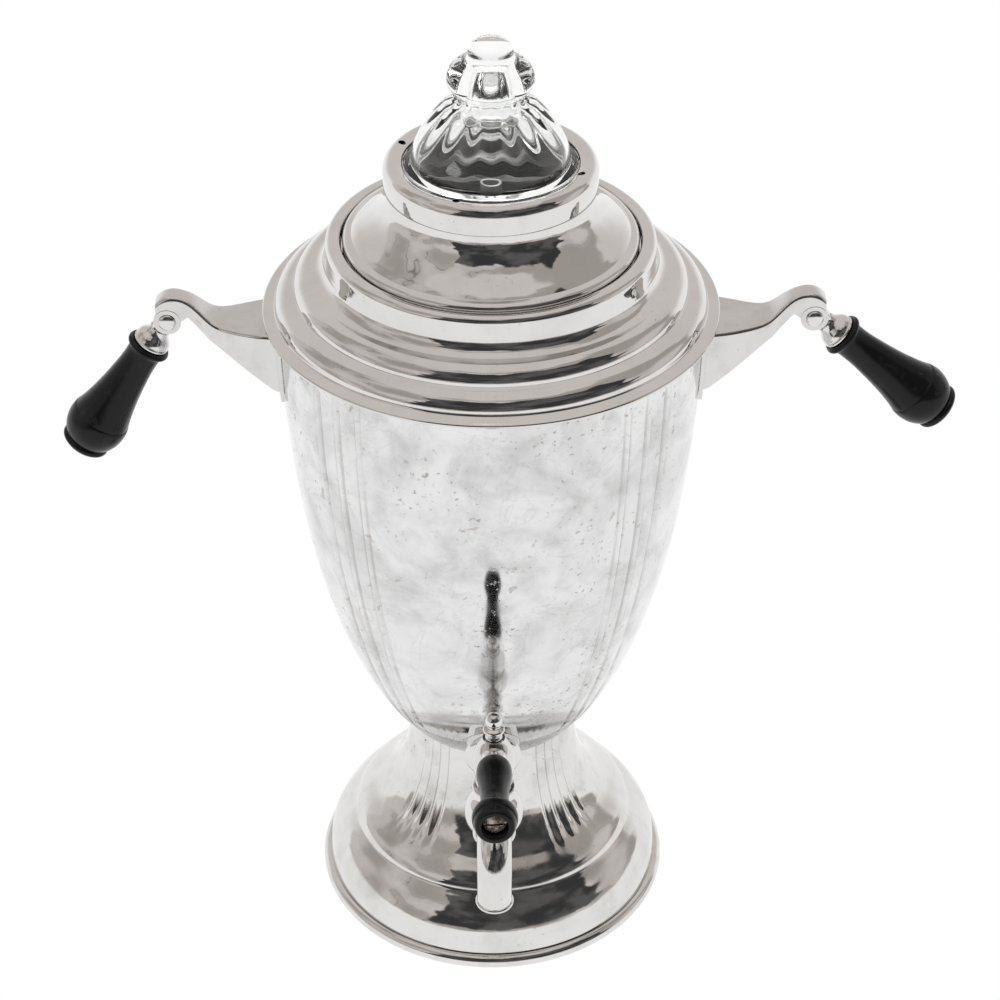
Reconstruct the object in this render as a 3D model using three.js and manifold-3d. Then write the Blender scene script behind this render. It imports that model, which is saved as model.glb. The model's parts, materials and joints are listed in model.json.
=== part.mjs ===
// Electric coffee urn: a footed, chrome-plated percolator with a front tap, two hinged side
// handles, a lift-off lid with a glass top, and a pump and basket inside.
// Millimetres, +Z up. The origin is on the urn's axis at the surface it stands on.
// The tap points to -Y and the side handles to +X and -X.

import * as THREE from 'three';
import { mergeVertices } from 'three/addons/utils/BufferGeometryUtils.js';
import Module from 'manifold-3d';

// ---- Driving dimensions ------------------------------------------------------------------

const GAP = 0.3;                 // between pieces that rest on or fit into each other
const SIDES = 24;                // facets around the large spun pieces
const SMALL_SIDES = 12;          // facets around small turned pieces

// Foot
const FOOT_R = 75;               // bead around the bottom
const FOOT_BEAD_H = 6.5;
const FOOT_BEAD_W = 7.1;
const FOOT_WALL_IN = 3.2;        // the foot's wall stands in from the bead
const FOOT_EDGE_Z = 15;          // top of the foot's upright wall
const FOOT_STEP_IN = 11.5;       // the crease between the foot's two rolls, in from the wall
const FOOT_STEP_Z = 31;
const FOOT_ROLL_W = 9.8;         // the upper of the two rolls, inward
const FOOT_ROLL_H = 9.6;         // and upward
const FOOT_SHEET = 1.2;
const WAIST_R = 34.4;            // narrowest part, under the tank
const WAIST_Z = 88;              // height where the stem meets the tank
const PLATE_SHEET = 1.2;
const PLATE_RISE = 2.6;          // the plate's rim is pressed up by this much
const LAND_R = 30;               // flat land in the middle of the bottom plate
const PLATE_SCREWS = 3;
const PLATE_SCREW_R = 1.5;
const PLATE_SCREW_IN = 9.6;      // from the plate's edge to its screws

// Tank and shoulder
const TANK_R = 82.5;
const TANK_H = 196;              // from the waist to the rim
const TANK_LEDGE = 2.6;          // the tank's lower edge stands out past the waist
const FLOOR_DROP = 4;            // the tank's floor lies this far down in the stem
const TANK_SHEET = 1.2;
const RIM_OVERHANG = 5.5;        // the shoulder's edge stands out past the tank
const RIM_SHEET = 1.6;
const SHOULDER_SHEET = 1.2;
const RIM_EDGE = 4.8;            // the flat edge, from the rim in to the lower roll
const ROLL_H = 7;                // each of the two convex rolls, upward
const COVE_W = 6.3;
const COVE_H = 6;
const NECK_H = 14.4;             // from the upper roll to the top of the bead
const NECK_W = 8.4;              // from the mouth out to the neck's side
const MOUTH_R = 54.5;            // clear opening that the lid, pump and basket pass through
const SEAT_DEPTH = 4;            // the lid's seat lies this far below the neck bead

// Lid, ring and glass
const LID_LEDGE = 1.9;           // the lid's rim reaches this far past the mouth
const LID_SHEET = 1;
const LID_RIM_H = 5;
const LID_H = 31;                // from the seat to the glass's seat
const LID_SKIRT = 8;             // how far the lid reaches down into the neck
const SKIRT_PLAY = 0.7;
const RING_W = 8;                // the ring's band, from the glass's edge outward
const RING_H = 11.4;
const RING_SHEET = 1.1;
const GLASS_R = 32.5;
const GLASS_PLAY = 0.5;
const GLASS_DOME_H = 26;         // from the flange to the neck of the knob
const GLASS_KNOB_R = 16.3;
const GLASS_SEAT_W = 3;
const VENTS = 4;
const VENT_R = 1.5;
const VENT_OUT = 3.1;            // from the glass's edge out to the vents
const VENT_TURN = 69;            // degrees from +X to the first vent

// Side handles
const HINGE_REACH = 42.2;        // from the tank's side out to the hinge
const HINGE_DROP = 4.5;          // from the tank's rim down to the hinge
const HINGE_PIN_R = 2.2;
const PIN_PLAY = 0.35;
const EAR_R = 5.3;
const EAR_T = 1.5;
const TONGUE_T = 5.2;
const EAR_PLAY = 0.4;
const STRAP_T = 1.6;
const STRAP_HALF_W = 15.5;       // half width of the bracket where it meets the tank
const GUSSET_DROP = 27;          // the bracket's cheeks reach this far down the tank
const PAD_MARGIN = 2;
const FERRULE_L = 14;            // from the hinge to the grip
const GRIP_L = 57;
const GRIP_R = 12.25;            // the swelling at the grip's outer end
const STUD_R = 2;
const LEFT_DROOP = 57;           // degrees below level at rest
const RIGHT_DROOP = 40;

// Tap
const TAP_RISE = 14;             // from the waist up to the water way
const SHANK_L = 31.5;            // from the flange's front to the valve's axis
const VALVE_R = 11.75;
const SHANK_R = 5;
const BEAD_R = 6.4;
const FLANGE_R = 11.4;
const FLANGE_T = 3.34;           // at its thinnest, where the tank bulges most
const WATERWAY_R = 3;
const SPOUT_R = 6.9;
const SPOUT_WALL = 1.4;
const SPOUT_BEND = 11;
const SPOUT_DROP = 25;           // from the water way down to the spout's tip
const HUB_L = 2.5;               // the valve's front socket, past the ball
const VALVE_NECK_WALL = 1.75;
const FOOT_LAND = 0.8;           // flat ring under the valve, around the plug
const VALVE_NECK_H = 14;         // from the water way to the top of the neck
const PLUG_R = 5.5;
const PLUG_PLAY = 0.4;
const KEY_OVERHANG = 0.85;       // the key's bell stands out past the valve's neck
const KEY_H = 24;                // the bell's top above the valve's neck
const LEVER_L = 42;
const LEVER_RISE = 7;            // degrees above level
const LEVER_R = 8.75;            // the swelling at the lever's outer end
const LEVER_SCREW_R = 2;

// Pump, basket and spreader
const PUMP_TUBE_R = 4;
const PUMP_TUBE_WALL = 1.1;
const PUMP_TOP_GAP = 4.6;        // from the tube's end up to the lid's top
const PUMP_BELL_PLAY = 4.7;      // from the bell's edge to the floor's corner
const BASKET_R = 36;
const BASKET_H = 45;
const BASKET_DROP = 11.3;        // from the lid's seat down to the basket's rim
const BASKET_SHEET = 1;
const SPREADER_RISE = 4;
const HOLE_R = 1.6;              // drain holes in the basket and spreader
const HOLES = 6;

// Heater and mains inlet
const ELEMENT_PLAY = 2.9;        // between the element and the stem
const ELEMENT_T = 4;
const CLAMP_IN = 6;              // the clamp's edge, in from the element's
const CLAMP_T = 1.2;
const HEATER_STUD_R = 2.5;
const NUT_T = 4;
const INLET_Z = 30;
const INLET_W = 36;
const INLET_H = 18;
const INLET_WALL = 1.5;
const INLET_DEPTH = 24;
const INLET_PIN_R = 2.4;
const INLET_PIN_SPACING = 17.5;
const LEAD_R = 1.6;
const LEAD_GAP = 0.8;            // at each end of a lead, whose ends are cut aslant

// ---- Materials -----------------------------------------------------------------------------

function material(color, roughness, metalness, extra = {}) {
  return new THREE.MeshStandardMaterial({ color, roughness, metalness, flatShading: true, ...extra });
}
const chrome = material(0xd9d6d2, 0.12, 1);
const plainSteel = material(0xb5b3ae, 0.35, 1);
const aluminium = material(0xc4c5c6, 0.4, 1);
const brass = material(0xb59a55, 0.35, 1);
const blackGrip = material(0x121212, 0.35, 0);
const clearGlass = material(0xeef2f0, 0.05, 0, { transparent: true, opacity: 0.35 });
const porcelain = material(0xe8e2d4, 0.5, 0);
const mica = material(0x9a8f7c, 0.7, 0);
const braid = material(0x6d655a, 0.9, 0);

// ---- Geometry tools ------------------------------------------------------------------------

const wasm = await Module();
wasm.setup();

/** A closed geometry with shared corners merged and collapsed triangles left out. */
function weld(source) {
  source.deleteAttribute('normal');
  source.deleteAttribute('uv');
  const geometry = mergeVertices(source, 1e-4);
  const corners = geometry.index.array;
  const kept = [];
  for (let i = 0; i < corners.length; i += 3) {
    const [a, b, c] = corners.slice(i, i + 3);
    if (a !== b && b !== c && c !== a) kept.push(a, b, c);
  }
  geometry.setIndex(kept);
  return geometry;
}

/** Turns an outline of [radius, height] points about Z. */
function spin(outline, sides = SIDES) {
  const points = outline.map(([r, z]) => new THREE.Vector2(r, z));
  return weld(new THREE.LatheGeometry(points, sides).rotateX(Math.PI / 2));
}

/** The same, for an outline that doesn't reach the axis and closes on itself. */
function spinRing(outline, sides = SIDES) {
  return spin([...outline, outline[0]], sides);
}

function cylinder(r, bottom, top, sides = SMALL_SIDES) {
  return spin([[0, bottom], [r, bottom], [r, top], [0, top]], sides);
}

function tube(inner, outer, bottom, top, sides = SMALL_SIDES) {
  return spinRing([[inner, bottom], [outer, bottom], [outer, top], [inner, top]], sides);
}

function box(x, y, z) {
  return weld(new THREE.BoxGeometry(x, y, z));
}

/** A flat plate: an outline of [u, v] points made thick along the third axis, centred on it. */
function plate(outline, thickness, holes = []) {
  const shape = new THREE.Shape(outline.map(([u, v]) => new THREE.Vector2(u, v)));
  for (const [u, v, r] of holes) {
    shape.holes.push(new THREE.Path().absarc(u, v, r, 0, 2 * Math.PI, true));
  }
  const flat = new THREE.ExtrudeGeometry(shape, {
    depth: thickness,
    bevelEnabled: false,
    curveSegments: SMALL_SIDES / 2,
  });
  return weld(flat.translate(0, 0, -thickness / 2));
}

/** A plate whose outline is given in X and Z and whose thickness runs along Y. */
function sidePlate(outline, thickness, holes = []) {
  return plate(outline, thickness, holes).rotateX(Math.PI / 2);
}

function toManifold(geometry) {
  return new wasm.Manifold(new wasm.Mesh({
    numProp: 3,
    vertProperties: Float32Array.from(geometry.attributes.position.array),
    triVerts: Uint32Array.from(geometry.index.array),
  }));
}

function toGeometry(manifold) {
  const mesh = manifold.getMesh();
  const geometry = new THREE.BufferGeometry();
  geometry.setAttribute('position', new THREE.BufferAttribute(mesh.vertProperties, 3));
  geometry.setIndex(new THREE.BufferAttribute(mesh.triVerts, 1));
  return geometry;
}

function cut(body, ...tools) {
  return toGeometry(tools.reduce((rest, tool) => rest.subtract(toManifold(tool)), toManifold(body)));
}

function join(...pieces) {
  const [first, ...rest] = pieces.map(toManifold);
  return toGeometry(rest.reduce((sum, next) => sum.add(next), first));
}

function common(a, b) {
  return toGeometry(toManifold(a).intersect(toManifold(b)));
}

/** Moves an open outline sideways by a distance, to the left of its direction of travel. */
function offset(outline, distance) {
  return outline.map((point, i) => {
    const before = outline[Math.max(i - 1, 0)];
    const after = outline[Math.min(i + 1, outline.length - 1)];
    const into = i > 0 ? unit(before, point) : unit(point, after);
    const out = i < outline.length - 1 ? unit(point, after) : into;
    const spread = 1 + into[0] * out[0] + into[1] * out[1];
    const side = [-(into[1] + out[1]) / spread, (into[0] + out[0]) / spread];
    return [point[0] + side[0] * distance, point[1] + side[1] * distance];
  });
}

function unit([ax, az], [bx, bz]) {
  const length = Math.hypot(bx - ax, bz - az);
  return [(bx - ax) / length, (bz - az) / length];
}

/** Points on a cubic curve from p0 to p3, with p1 and p2 as its handles. */
function curve(p0, p1, p2, p3, steps) {
  const ends = [p0, p1, p2, p3].map(([u, v]) => new THREE.Vector2(u, v));
  return new THREE.CubicBezierCurve(...ends).getPoints(steps).map(({ x, y }) => [x, y]);
}

/** Points on an ellipse's arc, angles in degrees. */
function arc(u, v, ru, rv, from, to, steps) {
  return Array.from({ length: steps + 1 }, (_, i) => {
    const angle = THREE.MathUtils.degToRad(from + (to - from) * i / steps);
    return [u + ru * Math.cos(angle), v + rv * Math.sin(angle)];
  });
}

/** Upright round cutters spaced evenly on a circle. */
function holeCutters(count, circle, r, bottom, top, firstDegrees = 0) {
  return Array.from({ length: count }, (_, i) => {
    const angle = THREE.MathUtils.degToRad(firstDegrees + 360 * i / count);
    const middle = [circle * Math.cos(angle), circle * Math.sin(angle)];
    return cylinder(r, bottom, top, 6).translate(...middle, 0);
  });
}

/** A hexagonal nut about Z. */
function nut(acrossFlats, hole, bottom, top) {
  const corner = acrossFlats / Math.sqrt(3);
  return cut(cylinder(corner, bottom, top, 6), cylinder(hole, bottom - 1, top + 1));
}

const urn = new THREE.Group();

function add(parent, name, geometry, look) {
  const mesh = new THREE.Mesh(geometry, look);
  mesh.name = name;
  parent.add(mesh);
  return mesh;
}

// ---- Foot: a spun shell from the waist down to the foot, on a rolled bottom ring ---------------

const footWallR = FOOT_R - FOOT_WALL_IN;
const footBottom = FOOT_BEAD_H + GAP;
const footEdge = [footWallR - 0.6, FOOT_EDGE_Z];
const footCrease = [footWallR - FOOT_STEP_IN, FOOT_STEP_Z];
const sweepFoot = [footCrease[0] - FOOT_ROLL_W, FOOT_STEP_Z + FOOT_ROLL_H];
const waistTop = WAIST_Z - GAP;

const footOutside = [
  [footWallR, footBottom],
  ...curve(footEdge, [footEdge[0] - 1.4, FOOT_EDGE_Z + 4.5], [footCrease[0] + 5.6, FOOT_STEP_Z - 5],
    [footCrease[0] + 0.2, FOOT_STEP_Z - 0.6], 3),
  ...curve(footCrease, [footCrease[0] - 1.6, FOOT_STEP_Z + 3.6], [sweepFoot[0] + 4, sweepFoot[1] - 3],
    sweepFoot, 2),
  ...curve(sweepFoot, [sweepFoot[0] - 7, sweepFoot[1] + 5.9], [WAIST_R + 0.2, sweepFoot[1] + 19.4],
    [WAIST_R, waistTop], 5).slice(1),
];
const footInside = offset(footOutside, FOOT_SHEET);
footInside[0] = [footInside[0][0], footBottom];
footInside[footInside.length - 1] = [WAIST_R - FOOT_SHEET, waistTop];

/** A rounded slot's outline in X and Z, for the mains inlet. */
function inletOutline(grow) {
  const half = INLET_W / 2 + grow;
  const r = INLET_H / 2 + grow;
  return [
    ...arc(half - r, INLET_Z, r, r, -90, 90, 6),
    ...arc(r - half, INLET_Z, r, r, 90, 270, 6),
  ];
}

function footShell() {
  const shell = spinRing([...footOutside, ...footInside.reverse()]);
  const opening = sidePlate(inletOutline(GAP), FOOT_R).translate(0, FOOT_R, 0);
  return cut(shell, opening);
}

const flangeZ = PLATE_RISE + PLATE_SHEET + GAP;
const ringWallIn = FOOT_R - FOOT_BEAD_W;
const plateR = ringWallIn - GAP;
const screwCircle = plateR - PLATE_SCREW_IN;
const screwTurn = 30;
const flangeIn = screwCircle - 6;
const lipR = footWallR - FOOT_SHEET - GAP;

function footRing() {
  const ring = spinRing([
    [ringWallIn, 0],
    [FOOT_R - 2, 0],
    [FOOT_R - 0.3, 1.4],
    [FOOT_R, 3.2],
    [FOOT_R - 0.3, 5.2],
    [FOOT_R - 2, FOOT_BEAD_H],
    [lipR, FOOT_BEAD_H],
    [lipR, FOOT_BEAD_H + 3.5],
    [lipR - FOOT_SHEET, FOOT_BEAD_H + 3.5],
    [lipR - FOOT_SHEET, flangeZ + FOOT_SHEET],
    [flangeIn, flangeZ + FOOT_SHEET],
    [flangeIn, flangeZ],
    [ringWallIn, flangeZ],
  ]);
  const r = PLATE_SCREW_R + GAP;
  return cut(ring, ...holeCutters(PLATE_SCREWS, screwCircle, r, 0, 20, screwTurn));
}

function bottomPlate() {
  const rise = PLATE_RISE;
  const disc = spin([
    [0, 0],
    [LAND_R, 0],
    [LAND_R + 4, rise],
    [plateR, rise],
    [plateR, rise + PLATE_SHEET],
    [LAND_R + 3.5, rise + PLATE_SHEET],
    [LAND_R - 0.5, PLATE_SHEET],
    [0, PLATE_SHEET],
  ]);
  const r = PLATE_SCREW_R + GAP;
  return cut(disc, ...holeCutters(PLATE_SCREWS, screwCircle, r, -1, 20, screwTurn));
}

function plateScrew() {
  const headTop = PLATE_RISE - GAP;
  const screw = spin([
    [0, headTop - 1.4],
    [2.4, headTop - 1.4],
    [3, headTop - 0.7],
    [3, headTop],
    [PLATE_SCREW_R, headTop],
    [PLATE_SCREW_R, headTop + 7],
    [0, headTop + 7],
  ], 12);
  return cut(screw, box(7, 0.8, 0.8).translate(0, 0, headTop - 1.4));
}

add(urn, 'foot_shell', footShell(), chrome);
add(urn, 'foot_ring', footRing(), chrome);
add(urn, 'bottom_plate', bottomPlate(), plainSteel);
for (let i = 0; i < PLATE_SCREWS; i += 1) {
  const angle = THREE.MathUtils.degToRad(screwTurn + 360 * i / PLATE_SCREWS);
  const screw = add(urn, `bottom_screw_${i + 1}`, plateScrew(), plainSteel);
  screw.position.set(screwCircle * Math.cos(angle), screwCircle * Math.sin(angle), 0);
}

// ---- Tank: an egg-shaped vessel, open at the top, with a flat heated floor ----------------------

const rimZ = WAIST_Z + TANK_H;
const floorZ = WAIST_Z - FLOOR_DROP;
const floorR = WAIST_R - FOOT_SHEET - GAP;
const tapZ = WAIST_Z + TAP_RISE;

const tankSide = curve(
  [WAIST_R + TANK_LEDGE, WAIST_Z],
  [TANK_R - 10.5, WAIST_Z + TANK_H * 0.2143],
  [TANK_R - 0.5, WAIST_Z + TANK_H * 0.648],
  [TANK_R, rimZ],
  7,
);

/** The tank's outer radius at a height. */
function tankRadius(z) {
  const i = tankSide.findIndex(([, height]) => height >= z);
  const [[r0, z0], [r1, z1]] = tankSide.slice(i - 1);
  return r0 + (r1 - r0) * (z - z0) / (z1 - z0);
}

/** The tank's side moved outwards, closed to the axis: a tool for what seats on the tank. */
function tankTool(grow) {
  const side = offset(tankSide, -grow);
  return spin([[0, side[0][1]], ...side, [0, side[side.length - 1][1]]]);
}

const shankHole = SHANK_R + GAP;

function tank() {
  const inside = offset(tankSide, TANK_SHEET).reverse();
  inside[0] = [TANK_R - TANK_SHEET, rimZ];
  const vessel = spin([
    [0, floorZ],
    [floorR, floorZ],
    [floorR, WAIST_Z],
    ...tankSide,
    ...inside,
    [floorR - TANK_SHEET, WAIST_Z + TANK_SHEET],
    [floorR - TANK_SHEET, floorZ + TANK_SHEET],
    [0, floorZ + TANK_SHEET],
  ]);
  const hole = cylinder(shankHole, 0, TANK_R).rotateX(Math.PI / 2).translate(0, 0, tapZ);
  return cut(vessel, hole);
}

add(urn, 'tank', tank(), chrome);

// ---- Shoulder: a stepped collar with two rolls, a cove and a beaded neck -------------------------

const rimBottom = rimZ + GAP;
const creaseZ = rimBottom + RIM_SHEET + 1;
const roll2Top = creaseZ + ROLL_H;
const roll1Top = roll2Top + ROLL_H;
const neckTop = roll1Top + NECK_H;
const seatZ = neckTop - SEAT_DEPTH;
const neckR = MOUTH_R + NECK_W;
const lidR = MOUTH_R + LID_LEDGE;
const lidRecessR = lidR + SKIRT_PLAY;
const creaseR = TANK_R + RIM_OVERHANG - RIM_EDGE;
const coveFoot = neckR + COVE_W;
const rollW = (creaseR - coveFoot) / 2;
const roll1Foot = coveFoot + rollW;

function shoulder() {
  const rimR = TANK_R + RIM_OVERHANG;
  const skirtR = TANK_R - TANK_SHEET - 1.2;
  const top = [
    [rimR, rimBottom + 0.8],
    [rimR - 0.7, rimBottom + RIM_SHEET],
    [creaseR, creaseZ],
    ...arc(roll1Foot, creaseZ, rollW, ROLL_H, 30, 90, 2),
    ...arc(coveFoot, roll2Top, rollW - 0.4, ROLL_H, 20, 90, 2),
    [coveFoot - 4, roll1Top + COVE_H * 0.3],
    [neckR, roll1Top + COVE_H],
    [neckR, neckTop - 4],
    [neckR - 1.7, neckTop - 0.6],
    [neckR - 3.8, neckTop],
    [lidRecessR, neckTop - 1.2],
  ];
  const under = offset(top.slice(2, -5), SHOULDER_SHEET).reverse();
  return spinRing([
    [skirtR - SHOULDER_SHEET, rimZ - 4],
    [skirtR, rimZ - 4],
    [skirtR, rimBottom],
    [rimR - 0.7, rimBottom],
    ...top,
    [lidRecessR, seatZ],
    [MOUTH_R, seatZ],
    [MOUTH_R, seatZ - SHOULDER_SHEET],
    [neckR - SHOULDER_SHEET - 1, seatZ - SHOULDER_SHEET],
    ...under.slice(0, -1),
    [skirtR - SHOULDER_SHEET, rimBottom + RIM_SHEET],
  ]);
}

add(urn, 'shoulder', shoulder(), chrome);

// ---- Handle brackets: a folded channel with two ears, on a curved pad ---------------------------

const hingeX = TANK_R + HINGE_REACH;
const hingeZ = rimZ - HINGE_DROP;
const earHalf = TONGUE_T / 2 + EAR_PLAY;          // inner face of an ear
const hingeHalf = earHalf + EAR_T;                // outer face of an ear
const strapTop = [
  [TANK_R - 4, hingeZ - 0.1],
  [hingeX - 22.3, hingeZ - 0.3],
  [hingeX - 15.1, hingeZ + 3.5],
  [hingeX - 6.4, hingeZ + 9.8],
  [hingeX - 1, hingeZ + 10.7],
  [hingeX + 3.9, hingeZ + 7.7],
];

function bracketPlan(inset) {
  const half = [
    [TANK_R - 4, STRAP_HALF_W],
    [TANK_R + 4, STRAP_HALF_W],
    [hingeX - 22.3, STRAP_HALF_W - 4.5],
    [hingeX - 10, hingeHalf + 2],
    [hingeX - 6, hingeHalf],
    [hingeX + 9, hingeHalf],
  ].map(([x, y]) => [x, y - inset]);
  return plate([...half.map(([x, y]) => [x, -y]), ...half.reverse()], 120).translate(0, 0, hingeZ);
}

function bracket() {
  const gussetZ = hingeZ - GUSSET_DROP;
  const outline = [
    ...strapTop,
    ...arc(hingeX, hingeZ, EAR_R, EAR_R, 0, -135, 4),
    [hingeX - 8.3, hingeZ + 2.2],
    [hingeX - 15.7, hingeZ - 6.8],
    [TANK_R - 1, gussetZ],
    [TANK_R - 4, gussetZ],
  ];
  const body = common(sidePlate(outline, 60), bracketPlan(0));
  const underside = offset(strapTop, -STRAP_T);
  underside[0][0] -= 10;
  const nose = underside[underside.length - 1];
  const hollow = [...underside, [hingeX + 20, nose[1]], [hingeX + 20, 150], [TANK_R - 14, 150]];
  const channel = cut(body, common(sidePlate(hollow, 60), bracketPlan(EAR_T).translate(-0.1, 0, 0)));
  const padBox = box(30, 2 * (STRAP_HALF_W + PAD_MARGIN), GUSSET_DROP + PAD_MARGIN)
    .translate(TANK_R, 0, gussetZ + (GUSSET_DROP - PAD_MARGIN) / 2);
  const pad = common(padBox, tankTool(GAP + EAR_T));
  const bore = cylinder(HINGE_PIN_R + GAP, -20, 20).rotateX(Math.PI / 2);
  return cut(join(channel, pad), tankTool(GAP), bore.translate(hingeX, 0, hingeZ));
}

function hingePin() {
  const head = hingeHalf + GAP;
  const headR = HINGE_PIN_R + 1.2;
  return spin([
    [0, -head - 1.6],
    [1.8, -head - 1.3],
    [headR, -head - 0.3],
    [headR, -head],
    [HINGE_PIN_R, -head],
    [HINGE_PIN_R, head],
    [headR, head],
    [headR, head + 0.3],
    [1.8, head + 1.3],
    [0, head + 1.6],
  ], SMALL_SIDES).rotateX(Math.PI / 2);
}

for (const [side, turn] of [['right', 0], ['left', Math.PI]]) {
  const group = new THREE.Group();
  group.rotation.z = turn;
  urn.add(group);
  add(group, `bracket_${side}`, bracket(), chrome);
  add(group, `hinge_pin_${side}`, hingePin(), chrome).position.set(hingeX, 0, hingeZ);
}

// ---- Side handles: a ferrule that swings on the pin, and a turned black grip on a stud -----------
// Each piece is drawn along +Z, outwards from the hinge, and turned with its group.

const studHole = STUD_R + GAP;
const gripStart = FERRULE_L + GAP;
const studEnd = FERRULE_L + GRIP_L - 18;

function ferrule() {
  const spool = spin([
    [0, 6],
    [3.8, 6],
    [5, 6.6],
    [5.1, 7.4],
    [4.3, 9.2],
    [4.6, 10.6],
    [7.2, 12.8],
    [7.2, FERRULE_L],
    [0, FERRULE_L],
  ]);
  const tongue = sidePlate([
    ...arc(0, 0, EAR_R - 0.5, EAR_R - 0.5, 180, 360, 8),
    [3.2, 8],
    [-3.2, 8],
  ], TONGUE_T);
  const eye = cylinder(HINGE_PIN_R + PIN_PLAY, -9, 9).rotateX(Math.PI / 2);
  return cut(join(spool, tongue), eye, cylinder(studHole, 8, 30));
}

function grip() {
  const end = gripStart + GRIP_L;
  const swell = end - 17;
  return spin([
    [studHole, gripStart],
    [8, gripStart],
    [8.6, gripStart + 1.6],
    [7.6, gripStart + 3.4],
    [6.8, gripStart + 7],
    ...curve([7.2, gripStart + 16], [GRIP_R - 3.6, swell - 14], [GRIP_R - 1.8, swell - 5],
      [GRIP_R - 0.6, swell], 3),
    [GRIP_R, swell + 4],
    [GRIP_R - 0.7, swell + 7.5],
    [GRIP_R - 2.9, swell + 11],
    [GRIP_R - 3.6, swell + 12],
    [GRIP_R - 2.75, swell + 13],
    [GRIP_R - 3.6, end - 1.5],
    [GRIP_R - 7, end - 0.2],
    [0, end],
    [0, studEnd + 1],
    [studHole, studEnd + 1],
    [studHole, gripStart],
  ], 14);
}

const handleTurns = { right: 90 + RIGHT_DROOP, left: -90 - LEFT_DROOP };
for (const side of ['left', 'right']) {
  const group = new THREE.Group();
  group.position.set(side === 'right' ? hingeX : -hingeX, 0, hingeZ);
  group.rotation.y = THREE.MathUtils.degToRad(handleTurns[side]);
  urn.add(group);
  add(group, `ferrule_${side}`, ferrule(), chrome);
  add(group, `grip_${side}`, grip(), blackGrip);
  add(group, `grip_stud_${side}`, cylinder(STUD_R, 8.4, studEnd), plainSteel);
}

// ---- Tap: flange, beaded shank, ball valve and spout --------------------------------------------
// Pieces turned about the water way are drawn along +Z and laid over to point to -Y.

function layOver(geometry) {
  return geometry.rotateX(Math.PI / 2).translate(0, 0, tapZ);
}

const flangeFront = tankRadius(tapZ + FLANGE_R) + FLANGE_T;
const tapReach = flangeFront + SHANK_L;
const washerFront = tankRadius(tapZ - FLANGE_R) - TANK_SHEET;
const washerBack = washerFront - 4.5;
const shankEnd = washerBack - GAP - NUT_T - 2.7;

function tapFlange() {
  const disc = layOver(spinRing([
    [shankHole, washerBack],
    [FLANGE_R, washerBack],
    [FLANGE_R, flangeFront - 1.6],
    [FLANGE_R - 2.2, flangeFront],
    [shankHole, flangeFront],
  ], 16));
  return cut(disc, tankTool(GAP));
}

function tapSaddleWasher() {
  const disc = layOver(tube(shankHole, FLANGE_R - 3, washerBack, flangeFront));
  return common(disc, tankTool(-TANK_SHEET - GAP));
}

function tapNut() {
  return layOver(nut(15, shankHole, washerBack - GAP - NUT_T, washerBack - GAP));
}

const plugBore = PLUG_R + PLUG_PLAY;
const valveNeckR = plugBore + VALVE_NECK_WALL;
const valveFoot = tapZ - Math.sqrt(VALVE_R ** 2 - (plugBore + FOOT_LAND) ** 2);
const valveTop = tapZ + VALVE_NECK_H;
const hubFront = tapReach + VALVE_R + HUB_L - 1;
const spoutStart = hubFront - HUB_L - 0.5;
const spoutSocket = SPOUT_R + GAP;
const hubR = spoutSocket + 1.3;

function tapBody() {
  const start = flangeFront + GAP;
  const pitch = (tapReach - VALVE_R - start) / 3;
  const beads = [];
  for (let i = 0; i < 3; i += 1) {
    const middle = start + pitch * (i + 0.55);
    const half = pitch * 0.36;
    beads.push([SHANK_R, middle - half], [BEAD_R, middle - half / 2]);
    beads.push([BEAD_R, middle + half / 2], [SHANK_R, middle + half]);
  }
  const shank = layOver(spin([
    [0, shankEnd],
    [SHANK_R, shankEnd],
    [SHANK_R, start],
    [BEAD_R + 0.8, start],
    ...beads,
    [SHANK_R, tapReach],
    [0, tapReach],
  ]));
  const ball = weld(new THREE.SphereGeometry(VALVE_R, 16, 10).rotateX(Math.PI / 2));
  const neck = spin([
    [0, 0],
    [valveNeckR, 0],
    [valveNeckR, VALVE_NECK_H - 2],
    [valveNeckR + 0.8, VALVE_NECK_H - 1.4],
    [valveNeckR + 0.8, VALVE_NECK_H],
    [0, VALVE_NECK_H],
  ], 16);
  const hub = layOver(cylinder(hubR, tapReach, hubFront, 16));
  const solids = join(
    ball.translate(0, -tapReach, tapZ),
    neck.translate(0, -tapReach, tapZ),
    shank,
    hub,
  );
  return cut(
    solids,
    cylinder(plugBore, tapZ - 30, tapZ + 30, 16).translate(0, -tapReach, 0),
    cylinder(30, tapZ - 30, valveFoot, 4).translate(0, -tapReach, 0),
    layOver(cylinder(WATERWAY_R, shankEnd - 5, spoutStart + 2)),
    layOver(cylinder(spoutSocket, spoutStart - GAP, hubFront + 5)),
  );
}

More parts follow.
